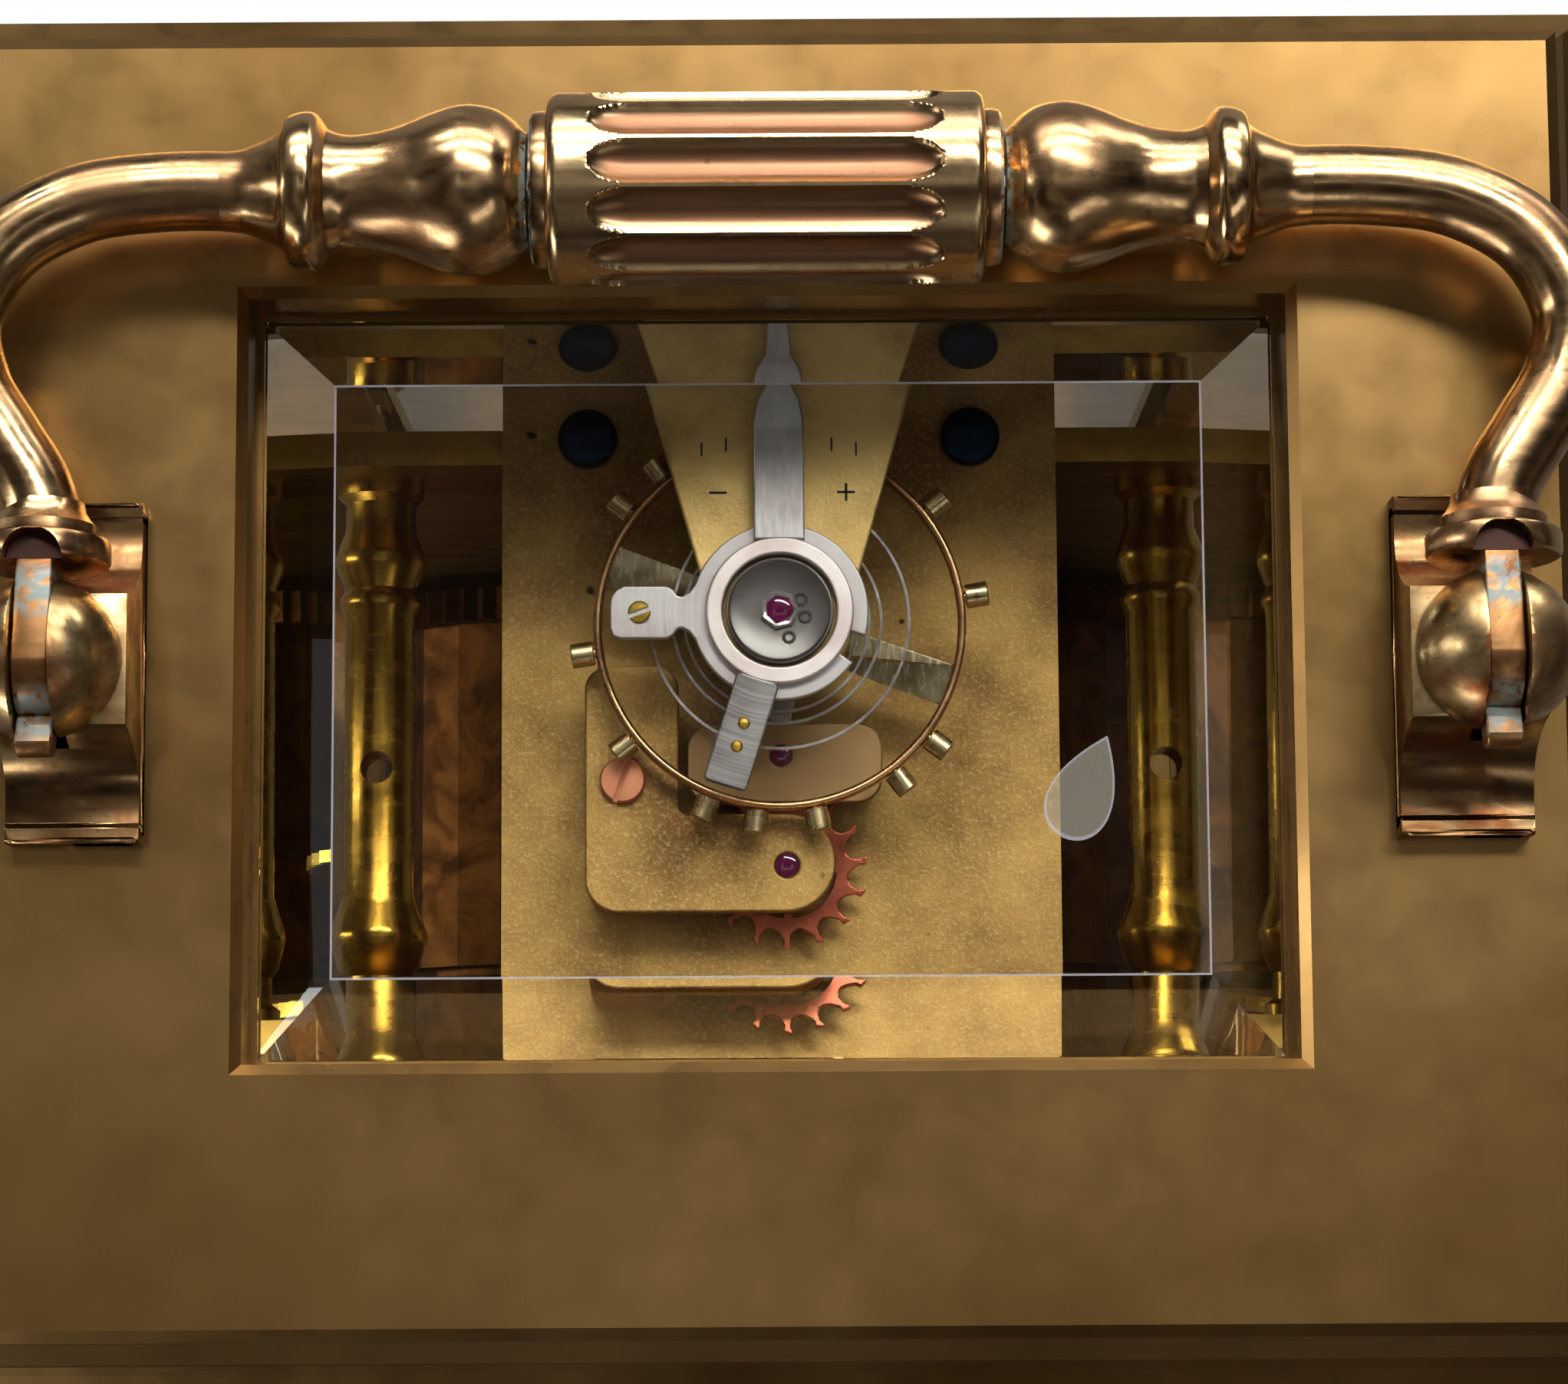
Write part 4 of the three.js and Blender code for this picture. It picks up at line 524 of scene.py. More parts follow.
def see_through(name, tint):
    """Clear glass that bends the view of what is inside, and lets lamp light straight through to it."""
    f = Finish(name, tint, roughness=0.0, IOR=1.5, Transmission_Weight=1.0)
    smear = f.add("TexNoise", "Fac", Vector=f.place, Scale=every(22.222), Detail=4, Roughness=0.6,
                  Distortion=0.6)
    f.set("Roughness", f.add("MapRange", "Result", Value=smear, From_Min=0.5, From_Max=0.8, To_Max=0.012))
    f.instead("Is Shadow Ray", f.add("BsdfTransparent", "BSDF", Color=(0.93, 0.95, 0.94, 1)))
    return f.material


def plain(name, colour, metallic, roughness, **sockets):
    """A uniform finish with a little uneven gloss."""
    f = Finish(name, colour, metallic, roughness, **sockets)
    gloss = f.add("TexNoise", "Fac", Vector=f.place, Scale=every(2), Detail=3, Roughness=0.6)
    f.set("Roughness", f.add("MapRange", "Result", Value=gloss, From_Min=0.3, From_Max=0.7,
                             To_Min=max(roughness - 0.05, 0.02), To_Max=roughness + 0.05))
    return f.material


HANDLE_BRASS = polished_brass("worn_handle_brass", "#dab582", "#85553c", 0.17, 0.6,
                              residue=("X", 0.0107, 0.0114))
GRIP_BRASS = polished_brass("worn_grip_brass", "#d6b988", "#7d4d39", 0.18, 0.5, flutes=True)
BRACKET_BRASS = polished_brass("bracket_brass", "#dcc089", "#7a4c2b", 0.22, 0.85, patches="#8f3f1d",
                               foot=(0.1402, 0.1425))
TONGUE_BRASS = polished_brass("tongue_brass", "#c0905c", "#6b4127", 0.3, 0.9,
                              residue=("Y", 0.0014, 0.0042))
PLATE_BRASS = polished_brass("shaded_plate_brass", "#a9823c", "#6b4a1e", 0.3, 0.5, specks=0.1, crease_shade=0.0)
MOVEMENT_BRASS = polished_brass("bright_movement_brass", "#dcb04c", "#a87a2c", 0.22, 0.35, specks=0.1,
                                crease_shade=0.0)
PALE_BRASS = polished_brass("balance_brass", "#d8bd8c", "#a58a56", 0.24, 0.2)
# painted shade: the barrels deep in the case get a dark brown for the shade they stand in
SHADED_BARREL_BRASS = polished_brass("shaded_barrel_brass", "#5d3716", "#2c1608", 0.36, 0.8, crease_shade=0.0)
PILLAR_BRASS = polished_brass("pillar_brass", "#c8973a", "#855420", 0.2, 0.35, specks=0.0, crease_shade=0.4)
CASE_BRASS = satin_brass("lacquered_case_brass", "#b38d56", "#94703e")
GILT = gilt_plate("frosted_gilding", "#c9a668", "#97743f")
PLATFORM_GILT = gilt_plate("worn_frosted_gilding", "#a68045", "#724f26")
BROWN_GILT = plain("shaded_gilding", "#8b6a45", 0.85, 0.5)
ARCH_SHADE = plain("painted_recess_shade", "#3b1d10", 0.6, 0.45)
RIM_BRASS = plain("balance_rim_brass", "#d6a271", 1.0, 0.26)
ROSE_BRASS = plain("rose_escape_brass", "#c4664a", 0.95, 0.25)
COPPER = plain("copper_screw", "#d88a66", 0.9, 0.35)
BAR_BRASS = grained_steel("balance_bar_brass", "#c9b489", "#7d6440", 0.24, (1, 0.1, 1))
ARM_STEEL = grained_steel("index_arm_steel", "#bdb8b6", "#a3938f", 0.38, (1, 0.12, 1))
ROSY_STEEL = grained_steel("rosy_steel", "#d6c5be", "#b59c96", 0.4)
STEEL = grained_steel("polished_steel", "#c2b8b3", "#b09a96", 0.34)
DARK_STEEL = grained_steel("dark_steel", "#8b8480", "#6e6461", 0.34)
CAP_STEEL = plain("end_cap_steel", "#6a635e", 0.9, 0.33)
SETTING_STEEL = plain("jewel_setting_steel", "#e6dfdc", 0.9, 0.12)
SPRING_STEEL = plain("hairspring_steel", "#dccfca", 0.95, 0.2)
BLUED = plain("blued_steel", "#0c1f33", 0.9, 0.25)
RUBY = plain("ruby", "#5a0838", 0.0, 0.08, Coat_Weight=1.0, Transmission_Weight=0.25, IOR=1.76)
ENAMEL = plain("white_enamel", "#f3f0e6", 0.0, 0.18, Coat_Weight=0.6)
INK = plain("black_enamel", "#14130f", 0.0, 0.35)
GLASS = see_through("bevelled_glass", "#f6fbfa")
CHIP = plain("glass_chip", "#a8a390", 0.0, 0.6, Alpha=0.26)
EDGE_HIGHLIGHT = plain("painted_edge_highlight", "#c9c6cf", 0.0, 0.5, Alpha=0.34)


def dress(material, *names):
    """Gives CAD nodes a material: their meshes stay as they are."""
    for name in names:
        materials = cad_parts[name].data.materials
        materials.clear()
        materials.append(material)


dress(CASE_BRASS, "base_plinth", "base_plate", "top_frame", "door_frame", "door_knob")
dress(MOVEMENT_BRASS, "centre_wheel", "third_wheel", "contrate_wheel", "minute_wheel", "hour_wheel",
      "bottom_pillar_left", "bottom_pillar_right")
dress(SHADED_BARREL_BRASS, "going_barrel", "strike_barrel")
dress(PLATE_BRASS, "front_plate", "back_plate")
dress(PLATFORM_GILT, "platform_plate")
dress(STEEL, "cannon_pinion", "going_winding_arbor", "strike_winding_arbor", "handle_tie_rod",
      "handle_pin_left", "handle_pin_right")
dress(BLUED, "minute_hand", "hour_hand")
dress(GLASS, "front_glass", "left_glass", "right_glass", "door_glass")


# The handle: fluted grip, two arms with turned balusters, and the slotted balls they fold in
def grip_surface():
    """The grip's barrel: radius less a scoop in each flute.

    A flute's depth is D (1 - u^2 - v^2)^0.6, where u is the angle from its middle line as a share of its
    half width, and v the way past its straight part as a share of its tip: so it ends in round tips. Both
    ends of the barrel are rounded over by a quarter ellipse.
    """
    tip, straight, depth, share = 1.9, 6.25, 0.7, 0.44
    end_round, end_drop, play = 0.55, 0.5, 0.02
    half = GRIP_LENGTH / 2 - GRIP_RING
    x = np.concatenate([
        np.linspace(-half, -half + 1.2, 14), np.linspace(-half + 1.3, half - 1.3, 190),
        np.linspace(half - 1.2, half, 14)])
    a = np.linspace(0, 2 * np.pi, GRIP_FLUTES * 26, endpoint=False)
    xx, aa = np.meshgrid(x, a, indexing="ij")
    pitch = 2 * np.pi / GRIP_FLUTES
    across = np.abs(((aa / pitch + 0.5) % 1.0) - 0.5) / share
    beyond = np.maximum(np.abs(xx) - straight, 0) / tip
    scoop = depth * np.clip(1 - across**2 - beyond**2, 0, 1) ** 0.6
    edge = np.clip((half - np.abs(xx)) / end_round, 0, 1)
    radius = GRIP_RADIUS - play - end_drop * (1 - np.sqrt(1 - (1 - edge) ** 2)) - scoop
    points = np.stack([xx, radius * np.cos(aa), radius * np.sin(aa)], axis=-1).reshape(-1, 3)
    return points, grid_faces(len(x), len(a))


def grip():
    """The barrel, and the narrower end rings that the arms' bulbs butt against."""
    points, faces = grip_surface()
    surface_for("handle_grip", "grip_barrel", in_handle(points + [0, GRIP_REACH, 0]), faces, GRIP_BRASS)
    half = GRIP_LENGTH / 2
    body = half - GRIP_RING
    ring = [(1.2, body - 0.2), (3.9, body - 0.2), (4.0, body), (3.62, body + 0.02), (3.66, body + 0.3),
            (3.6, half - 0.12), (3.45, half), (1.2, half)]
    points, faces = turned(ring, 96)
    for side in (-1, 1):
        placed = in_handle(along_x(points) * [side, 1, 1] + [0, GRIP_REACH, 0])
        surface_for("handle_grip", f"grip_ring_{side}", placed, faces, HANDLE_BRASS)


ARM_PATH = [(ARM_START + 12.6, GRIP_REACH)] + [(x, GRIP_REACH - back) for x, back in (
    (28, 0), (32, 0.6), (35.4, 2.6), (37.2, 6), (36.7, 9.2), (35.1, 11.9), (33.8, 14),
    (PIVOT_X, 16))] + [(PIVOT_X, 5.2)]
BALUSTER = [(0.9, 0), (2.45, 0), (2.72, 0.18), (3.3, 0.75), (3.75, 1.5), (3.97, 2.5), (3.92, 3.4),
            (3.6, 4.5), (3.15, 5.6), (2.8, 6.7), (2.62, 7.8), (2.62, 8.6), (2.85, 9.3)]
FLARE = [(2.85, 9.3), (3.3, 9.6), (3.5, 9.75), (3.66, 10.0), (3.68, 10.4), (3.6, 10.8), (3.42, 11.15),
         (2.95, 11.3), (2.6, 11.75), (2.25, 12.5), (1.95, 13.3), (ROD_RADIUS, 14.2)]
COLLAR = [(0, 4.25), (2.9, 4.25), (3.05, 4.32), (3.13, 4.5), (3.13, 5.25), (3.05, 5.42), (2.6, 5.5),
          (2.48, 5.62), (2.48, 6.1), (2.3, 6.3), (2.0, 6.7), (1.87, 7.2), (0, 7.2)]


def arm(side, word):
    """One arm: a baluster on the grip's axis, a rod bent back to the pivot, a collar and a flat tongue."""
    def keep(label, points, faces, material=HANDLE_BRASS):
        if side < 0:
            faces = [list(f)[::-1] for f in faces]
        placed = in_handle(points * [side, 1, 1])
        surface_for(f"handle_arm_{word}", f"arm_{word}_{label}", placed, faces, material)

    outline = np.vstack([smooth_curve(np.add(BALUSTER, [0, ARM_START]), 5)[:-1],
                         smooth_curve(np.add(FLARE, [0, ARM_START]), 4)])
    points, faces = turned(outline, 96)
    keep("baluster", along_x(points) + [0, GRIP_REACH, 0], faces)
    path = smooth_curve(ARM_PATH, 12)
    keep("rod", *swept(np.column_stack([path, np.zeros(len(path))]), ROD_RADIUS, 48))

    points, faces = turned(COLLAR, 72)
    ring = loose("collar", along_y(points) + [PIVOT_X, 0, 0], faces)
    points, faces = turned([(0, 2.05), (1.3, 2.05), (1.5, 4.0), (0, 4.0)], 40)
    arch = loose("arch", points + [PIVOT_X, 4.1, 0], faces)
    # a dark sheet on the arch's floor: painted shade inside the collar's arch
    shade = plate_mesh("shade", [arc(0, 4.2, 1.26, 0, 180, 24)], 2.06, 2.1, 0.005)
    keep("arch_shade_floor", points_of(shade) + [PIVOT_X, 0, 0], faces_of(shade), ARCH_SHADE)
    collar = shaped(ring, [arch])
    keep("collar", points_of(collar), faces_of(collar))

    half = TONGUE / 2 - 0.02
    outline = np.vstack([arc(0, 0, 2.85, 100, 165, 20), arc(-3.85, 0.55, 0.82, 105, 250, 16),
                         arc(0, 0, 2.85, 200, 260, 20), [[4.6, -2.0], [4.6, 2.0]]])
    tongue = plate_mesh("tongue", [outline, circle(0, 0, 0.85, 40)], -half, half, 0.12)
    keep("tongue", points_of(tongue)[:, [2, 0, 1]] + [PIVOT_X, 0, 0], faces_of(tongue), TONGUE_BRASS)


def bracket(side, word):
    """A scooped foot with a slotted ball on it: the slot takes the arm's tongue, and a pin runs across."""
    x = side * PIVOT_X
    middle = x - side * BRACKET_INSET
    reach, w, corner_radius = 8.0, BRACKET_WIDTH / 2, 0.9
    scoop = smooth_curve([(7.85, 1.7), (7.2, 1.62), (6.4, 1.55), (5.6, 1.65), (4.8, 2.0), (4.15, 2.7),
                          (3.65, 3.6), (3.25, 4.7), (3.0, 6.0)], 5)
    half = np.vstack([[[reach, 0.0], [reach, 1.5]], scoop])
    outline = np.vstack([half, half[::-1] * [-1, 1]])
    points, faces = prism(outline, -w, w)
    foot = loose("foot", points[:, [2, 0, 1]] + [middle, 0, TOP_Z], faces)
    waste = []
    for sx in (-1, 1):
        for sy in (-1, 1):
            corner = np.vstack([arc(0, 0, corner_radius, 0, 90, 8), [[-0.2, 2.0], [2.0, 2.0], [2.0, -0.2]]])
            corner = corner * [sx, sy] + [middle + sx * (w - corner_radius), sy * (reach - corner_radius)]
            if sx * sy < 0:
                corner = corner[::-1]
            waste.append(loose("corner", *prism(corner, TOP_Z - 1, TOP_Z + 5)))
    latitude = np.radians(np.linspace(-90, 90, 49))
    globe = np.column_stack([BALL_RADIUS * np.cos(latitude), BALL_RADIUS * np.sin(latitude)])
    points, faces = turned(globe, 96)
    ball = loose("ball", points + [x, 0, PIVOT_Z], faces)
    gap = TONGUE / 2 + 0.09
    points, faces = turned(rod(4.8, -gap, gap), 72)
    slot = loose("slot", along_x(points) + [x, 0, PIVOT_Z], faces)
    mesh = shaped(foot, [*waste, slot], [ball], bevel=0.2)
    stand_for(f"handle_bracket_{word}", f"bracket_{word}", mesh, BRACKET_BRASS)


# Corner columns
COLUMN_RINGS = [
    (0, 0), (4.1, 0), (4.1, 1.35), (4.0, 1.5), (3.65, 1.55), (3.62, 1.9), (3.8, 2.1), (3.97, 2.45),
    (4.0, 2.75), (3.9, 3.1), (3.6, 3.35), (3.3, 3.6), (3.2, 3.9), (3.2, 4.7), (3.3, 4.95), (3.6, 5.2),
    (3.7, 5.5), (3.7, 5.9), (3.65, 6.25), (3.45, 6.45), (3.35, 6.7), (3.3, 7.0), (3.3, 8.8), (3.2, 9.0),
    (0, 9.0)]


def column(end, side):
    """A fluted column with its base and capital, and the grooved post behind it that holds the panes.

    Round the shaft the radius is R less a scoop of depth 0.5 sqrt(1 - (u / w)^2), where u is the angle from
    the flute's middle and w its half width; at both ends the scoop runs out in a quarter round.
    """
    node = f"column_{end}_{side}"
    sx, sy = (-1 if side == "left" else 1), (-1 if end == "front" else 1)
    place = [sx * COLUMN_AT[0], sy * COLUMN_AT[1], 0]

    def keep(label, points, faces):
        surface_for(node, f"{node}_{label}", points, faces, CASE_BRASS)

    overlap, plain_end, run_out, depth, half_width = 0.5, 0.8, 1.6, 0.5, 0.21
    low, high = DECK_Z + CAPITAL_HEIGHT - overlap, FRAME_Z - CAPITAL_HEIGHT + overlap
    ramp = np.array([0, 0.8, 0.85, 1.0, 1.2, 1.5, 1.9, 2.4])
    z = np.concatenate([low + ramp, high - ramp[::-1]])
    a = np.linspace(0, 2 * np.pi, COLUMN_FLUTES * 24, endpoint=False)
    step = 2 * np.pi / COLUMN_FLUTES
    zz, aa = np.meshgrid(z, a, indexing="ij")
    off = ((aa / step + 0.5) % 1 - 0.5) * step
    inside = np.clip((np.minimum(zz - low, high - zz) - plain_end) / run_out, 0, 1)
    scoop = depth * np.sqrt(np.clip(1 - (off / half_width) ** 2, 0, 1)) * np.sqrt(1 - (1 - inside) ** 2)
    r = COLUMN_RADIUS - scoop
    shaft = np.stack([r * np.cos(aa), r * np.sin(aa), zz], axis=-1).reshape(-1, 3)
    keep("shaft", shaft + place, grid_faces(len(z), len(a)))
    points, faces = turned(COLUMN_RINGS)
    keep("base", points + place + [0, 0, DECK_Z], faces)
    keep("capital", points * [1, 1, -1] + place + [0, 0, FRAME_Z], faces[:, ::-1])

    def corner(x0, x1, y0, y1, z0, z1):
        return block(*sorted((sx * x0, sx * x1)), *sorted((sy * y0, sy * y1)), z0, z1)

    px, py = POST_INNER
    post = loose("post", *corner(px, COLUMN_AT[0], py, COLUMN_AT[1] - 0.2, DECK_Z, FRAME_Z))
    grooves = [loose("groove", *corner(29.6, 32.6, py - 1, py + 1.3, 0, TOP_Z))]
    if end == "front":
        grooves.append(loose("groove", *corner(px - 1, px + 1.3, 23.4, 26.4, 0, TOP_Z)))
    stand_for(node, f"{node}_post", shaped(post, grooves), CASE_BRASS)


def pillar(side, word):
    """An upper movement pillar: a turned bar between the plates, with knops, rings and a cross hole."""
    front, back = PLATES_Y
    r, k = 1.85, 2.6
    profile = [(0, front), (r + 0.43, front), (r + 0.43, front + 0.8), (r - 0.05, front + 1.1),
               (r - 0.1, front + 2.5), (r + 0.3, front + 3.0), (k - 0.1, front + 4.2), (k, front + 4.6),
               (k - 0.1, front + 5.0), (r + 0.2, front + 6.2), (r, front + 6.8), (r, back - 7),
               (r + 0.25, back - 6.6), (r + 0.27, back - 6.1), (r, back - 5.6), (k - 0.3, back - 4.5),
               (k - 0.2, back - 4), (k - 0.35, back - 3.5), (r, back - 2.4), (r, back - 1),
               (r + 0.43, back - 0.6), (r + 0.43, back), (0, back)]
    points, faces = turned(profile)
    bar = loose("bar", points[:, [0, 2, 1]] + [side * PILLAR_X, 0, PILLAR_Z], faces[:, ::-1])
    points, faces = turned(rod(0.85, -5, 5), 32)
    hole = loose("hole", points + [side * PILLAR_X, -1.7, PILLAR_Z], faces)
    stand_for(f"top_pillar_{word}", f"pillar_{word}", shaped(bar, [hole]), PILLAR_BRASS)


# Top glass
def top_pane():
    """The top glass: its upper edges are cut to broad bevels, with a hair of ground edge under them."""
    half_x, half_y, thickness, bevel, drop, hair = 24.4, 17.9, 4.0, 3.7, 2.5, 0.06
    rings = [(hair, 0), (0, hair), (0, thickness - drop - 0.05), (0.04, thickness - drop), (bevel, thickness)]
    corner = np.array([[1, 1], [-1, 1], [-1, -1], [1, -1]])
    points = np.vstack([
        np.column_stack([corner * [half_x - inset, half_y - inset], np.full(4, z)]) for inset, z in rings])
    faces = grid_faces(len(rings), 4).tolist()
    faces += [[3, 2, 1, 0], [4 * (len(rings) - 1) + k for k in range(4)]]
    surface_for("top_glass", "top_pane", points + [0, 0, GLASS_UNDER_Z], faces, GLASS, smooth=0.01)


def on_glass(name, outlines, top, bevel, material):
    """A film on the top glass, a hundredth of a millimetre thick."""
    mesh = plate_mesh(name, outlines, GLASS_TOP_Z + 0.002, GLASS_TOP_Z + top, bevel)
    stand_for("top_glass", name, mesh, material)


def chip():
    """A shallow drop-shaped chip right of the platform: a matt film, with a painted highlight on its rim.

    Along the drop x = -2.65 cos t, and across it y = 2.05 sin t sin(t / 2).
    """
    t = np.linspace(0, 2 * np.pi, 48, endpoint=False)
    across = 2.05 * np.sin(t) * np.sin(t / 2)
    drop = spun(np.column_stack([-2.65 * np.cos(t), across, np.zeros(len(t))]), math.radians(-114))
    outline = drop[:, :2] + [14.9, -5.3]
    middle = outline.mean(axis=0)
    inner = middle + (outline - middle) * 0.93
    on_glass("chip_film", [inner], 0.012, 0.002, CHIP)
    on_glass("chip_rim", [outline, inner], 0.012, 0.002, EDGE_HIGHLIGHT)


def bevel_line():
    """The thin bright line where the glass's flat top turns into its bevels: a pale film as painted
    highlight.
    """
    half_x, half_y, width = 20.72, 14.22, 0.1
    outlines = [rounded(-half_x + k, half_x - k, -half_y + k, half_y - k, 0.02, 2) for k in (0, width)]
    on_glass("bevel_line", outlines, 0.008, 0.001, EDGE_HIGHLIGHT)


# The platform escapement; heights are counted from the platform's upper face
def above_platform(mesh, place=(0, 0)):
    """Raises a mesh from platform heights to the row frame, and shifts it to a place in X and Y."""
    mesh.transform(Matrix.Translation((place[0] * MM, place[1] * MM, PLATFORM_Z * MM)))
    return mesh


def flat_part(node, name, outlines, z0, z1, material, bevel=0.08):
    """A bevelled plate that stands for a CAD node."""
    stand_for(node, name, above_platform(plate_mesh(name, outlines, z0, z1, bevel)), material)


def turned_part(node, name, profile, material, place=(0, 0), sides=64, slot_angle=None):
    """A turned piece; a slot angle cuts a screwdriver slot across its top."""
    half_width, depth = 0.13, 0.35
    points, faces = turned(profile, sides)
    cutters = []
    if slot_angle is not None:
        radius, top = np.max(profile, axis=0) + [0.5, 0]
        corners, block_faces = block(-radius, radius, -half_width, half_width, top - depth, top + 0.5)
        cutters.append(loose("slot", spun(corners, math.radians(slot_angle)), block_faces))
    mesh = above_platform(shaped(loose(name, points, faces), cutters), place)
    stand_for(node, name, mesh, material)


def jewel(node, name, x, y, z, radius):
    """A red jewel: a low dome, as high as a quarter of its radius, over a short wall."""
    t = np.linspace(0, np.pi / 2, 12)
    dome = np.column_stack([radius * np.cos(t) + ON_AXIS, 0.25 * radius * np.sin(t)])
    points, faces = turned(np.vstack([[radius, -0.3], dome]), 40)
    surface_for(node, name, points + [x, y, PLATFORM_Z + z], faces, RUBY, smooth=1.0)


def cock():
    """The balance cock: a tapered plate on a foot, with plain fast and slow marks in place of letters."""
    bx, by = BALANCE
    half_foot, back, taper, top = 7.6, 19.2, 14.4, 9.0
    nose = arc(bx, by, 3.7, 180 - taper, 360 + taper, 40)
    outline = np.vstack([[[bx + half_foot, back], [bx - half_foot, back]], nose])
    hole = circle(bx, by, 0.6)
    flat_part("balance_cock", "cock_plate", [outline, hole], 7.5, top, GILT, 0.12)
    flat_part("balance_cock", "cock_foot", [rounded(bx - 6.4, bx + 6.4, 15.0, 19.15, 0.3)], 0.0, 7.5, GILT)
    marks = [(-3.0, 10.0, 0.9, 0.13), (3.3, 10.0, 0.9, 0.13), (3.3, 10.0, 0.13, 0.9)]
    marks += [(x, 12.6 - 0.03 * x * x, 0.1, 0.7) for x in (-2.6, 2.6, 3.8, -3.8)]
    for i, (x, y, w, h) in enumerate(marks):
        box = rounded(bx + x - w / 2, bx + x + w / 2, y - h / 2, y + h / 2, 0.05, 3)
        flat_part("balance_cock", f"cock_mark_{i}", [box], top - 0.01, top + 0.012, INK, 0.002)
    flat_part("balance_cock", "cock_boss", [circle(bx, by, 2.6), hole], top, 9.9, DARK_STEEL, 0.05)


def stud_carrier():
    """The split ring that carries the spring's stud, with a waisted tab and its screw."""
    bx, by = BALANCE
    waist = [[-4.42, 0.98], [-4.75, 0.78], [-5.0, 0.82], [-5.2, 1.12], [-5.5, 1.3]]
    tab = [[-7.6, 1.3], [-8.0, 1.1], [-8.25, 0.75], [-8.3, 0.3], [-8.3, -0.75], [-8.15, -1.15], [-7.8, -1.3]]
    lower_waist = [[x, -y] for x, y in waist[::-1]]
    ring = np.vstack([arc(0, 0, 4.35, -16, 162, 40), waist, tab, lower_waist,
                      arc(0, 0, 4.35, 198, 324.5, 40), arc(0, 0, 2.78, 324.5, -16, 50)])
    flat_part("stud_carrier", "stud_ring", [ring + [bx, by]], 9.0, 9.55, STEEL, 0.09)
    turned_part("stud_carrier", "stud_screw", [(0, 9.2), (0.55, 9.2), (0.55, 9.62), (0.48, 9.68), (0, 9.7)],
                MOVEMENT_BRASS, (bx - 6.85, by), slot_angle=20)
    turned_part("stud_carrier", "stud", rod(0.35, 6.35, 9.2), STEEL, (bx - 6.87, by), 24)


def regulator():
    """The index above the stud carrier: its ring, its long arm, and the short arm with two curb pins."""
    bx, by = BALANCE
    under, over = 9.63, 10.05
    flat_part("regulator", "index_ring", [circle(bx, by, 3.62, 96), circle(bx, by, 2.78, 96)], under, over,
              ROSY_STEEL, 0.12)
    edge = [[1.25, 3.5], [1.22, 9.4], [1.05, 10.4], [0.62, 11.2], [0.5, 13.9]]
    arm = np.array([[-1.25, 3.5]] + edge + [[-x, y] for x, y in edge[:0:-1]]) + [bx, by]
    flat_part("regulator", "index_arm", [arm], under, over + 0.01, ARM_STEEL, 0.09)
    turn = math.radians(-107.6)
    along = np.array([math.cos(turn), math.sin(turn)])
    across = np.array([-along[1], along[0]])
    tail = rounded(3.5, 9.0, -1.08, 1.08, 0.25)
    tail = tail[:, :1] * along + tail[:, 1:] * across + [bx, by]
    flat_part("regulator", "curb_arm", [tail], under, over, DARK_STEEL, 0.09)
    for i, r in enumerate((5.82, 7.0)):
        place = (bx + r * along[0], by + r * along[1])
        turned_part("regulator", f"curb_pin_{i}", rod(0.2, 6.26, 9.6), STEEL, place, 16)
        rivet = [(0, 10.0), (0.3, 10.0), (0.3, 10.08), (0.2, 10.18), (0, 10.2)]
        turned_part("regulator", f"curb_rivet_{i}", rivet, MOVEMENT_BRASS, place, 24)


def end_cap():
    """The cap over the balance's pivot: a dished disc, a bright faceted setting, a jewel and small rings."""
    bx, by = BALANCE
    cap = [(0, 9.9), (2.5, 9.9), (2.52, 10.12), (2.44, 10.2), (2.36, 10.16), (1.1, 10.06), (0, 10.06)]
    turned_part("balance_end_cap", "end_cap", cap, CAP_STEEL, BALANCE, 96)
    setting = [(0, 10.0), (0.98, 10.0), (0.98, 10.2), (0.86, 10.34), (0.72, 10.3), (0.66, 10.18),
               (0, 10.18)]
    turned_part("balance_end_cap", "jewel_setting", setting, SETTING_STEEL, BALANCE, 7)
    jewel("balance_end_cap", "end_jewel", bx, by, 10.28, 0.66)
    points, faces = turned([(0.18, 10.0), (0.34, 10.0), (0.34, 10.12), (0.26, 10.17), (0.18, 10.12)], 24)
    for i, (x, y) in enumerate([(1.25, -0.35), (0.45, -1.35), (1.05, 0.5)]):
        placed = points + [bx + x, by + y, PLATFORM_Z]
        surface_for("balance_end_cap", f"cap_ring_{i}", placed, faces, CAP_STEEL)


def balance_rim():
    """The thin rim of the balance: an upright strip whose upper and lower edges are half round."""
    bx, by = BALANCE
    rim_radius, rim_round, rim_half, sides = 9.09, 0.21, 0.29, 200
    wall = []
    for lift, start in ((rim_half, 0), (-rim_half, math.pi)):
        t = np.linspace(start, start + math.pi, 9)
        height = BALANCE_Z + lift + rim_round * np.sin(t)
        wall.append(np.column_stack([rim_radius + rim_round * np.cos(t), height]))
    points, faces = turned(np.vstack(wall), sides)
    around = np.arange(sides)
    last = len(points) - sides
    after = (around + 1) % sides
    faces = np.vstack([faces, np.column_stack([last + around, last + after, after, around])])
    surface_for("balance_wheel", "balance_rim", points + [bx, by, PLATFORM_Z], faces, RIM_BRASS)


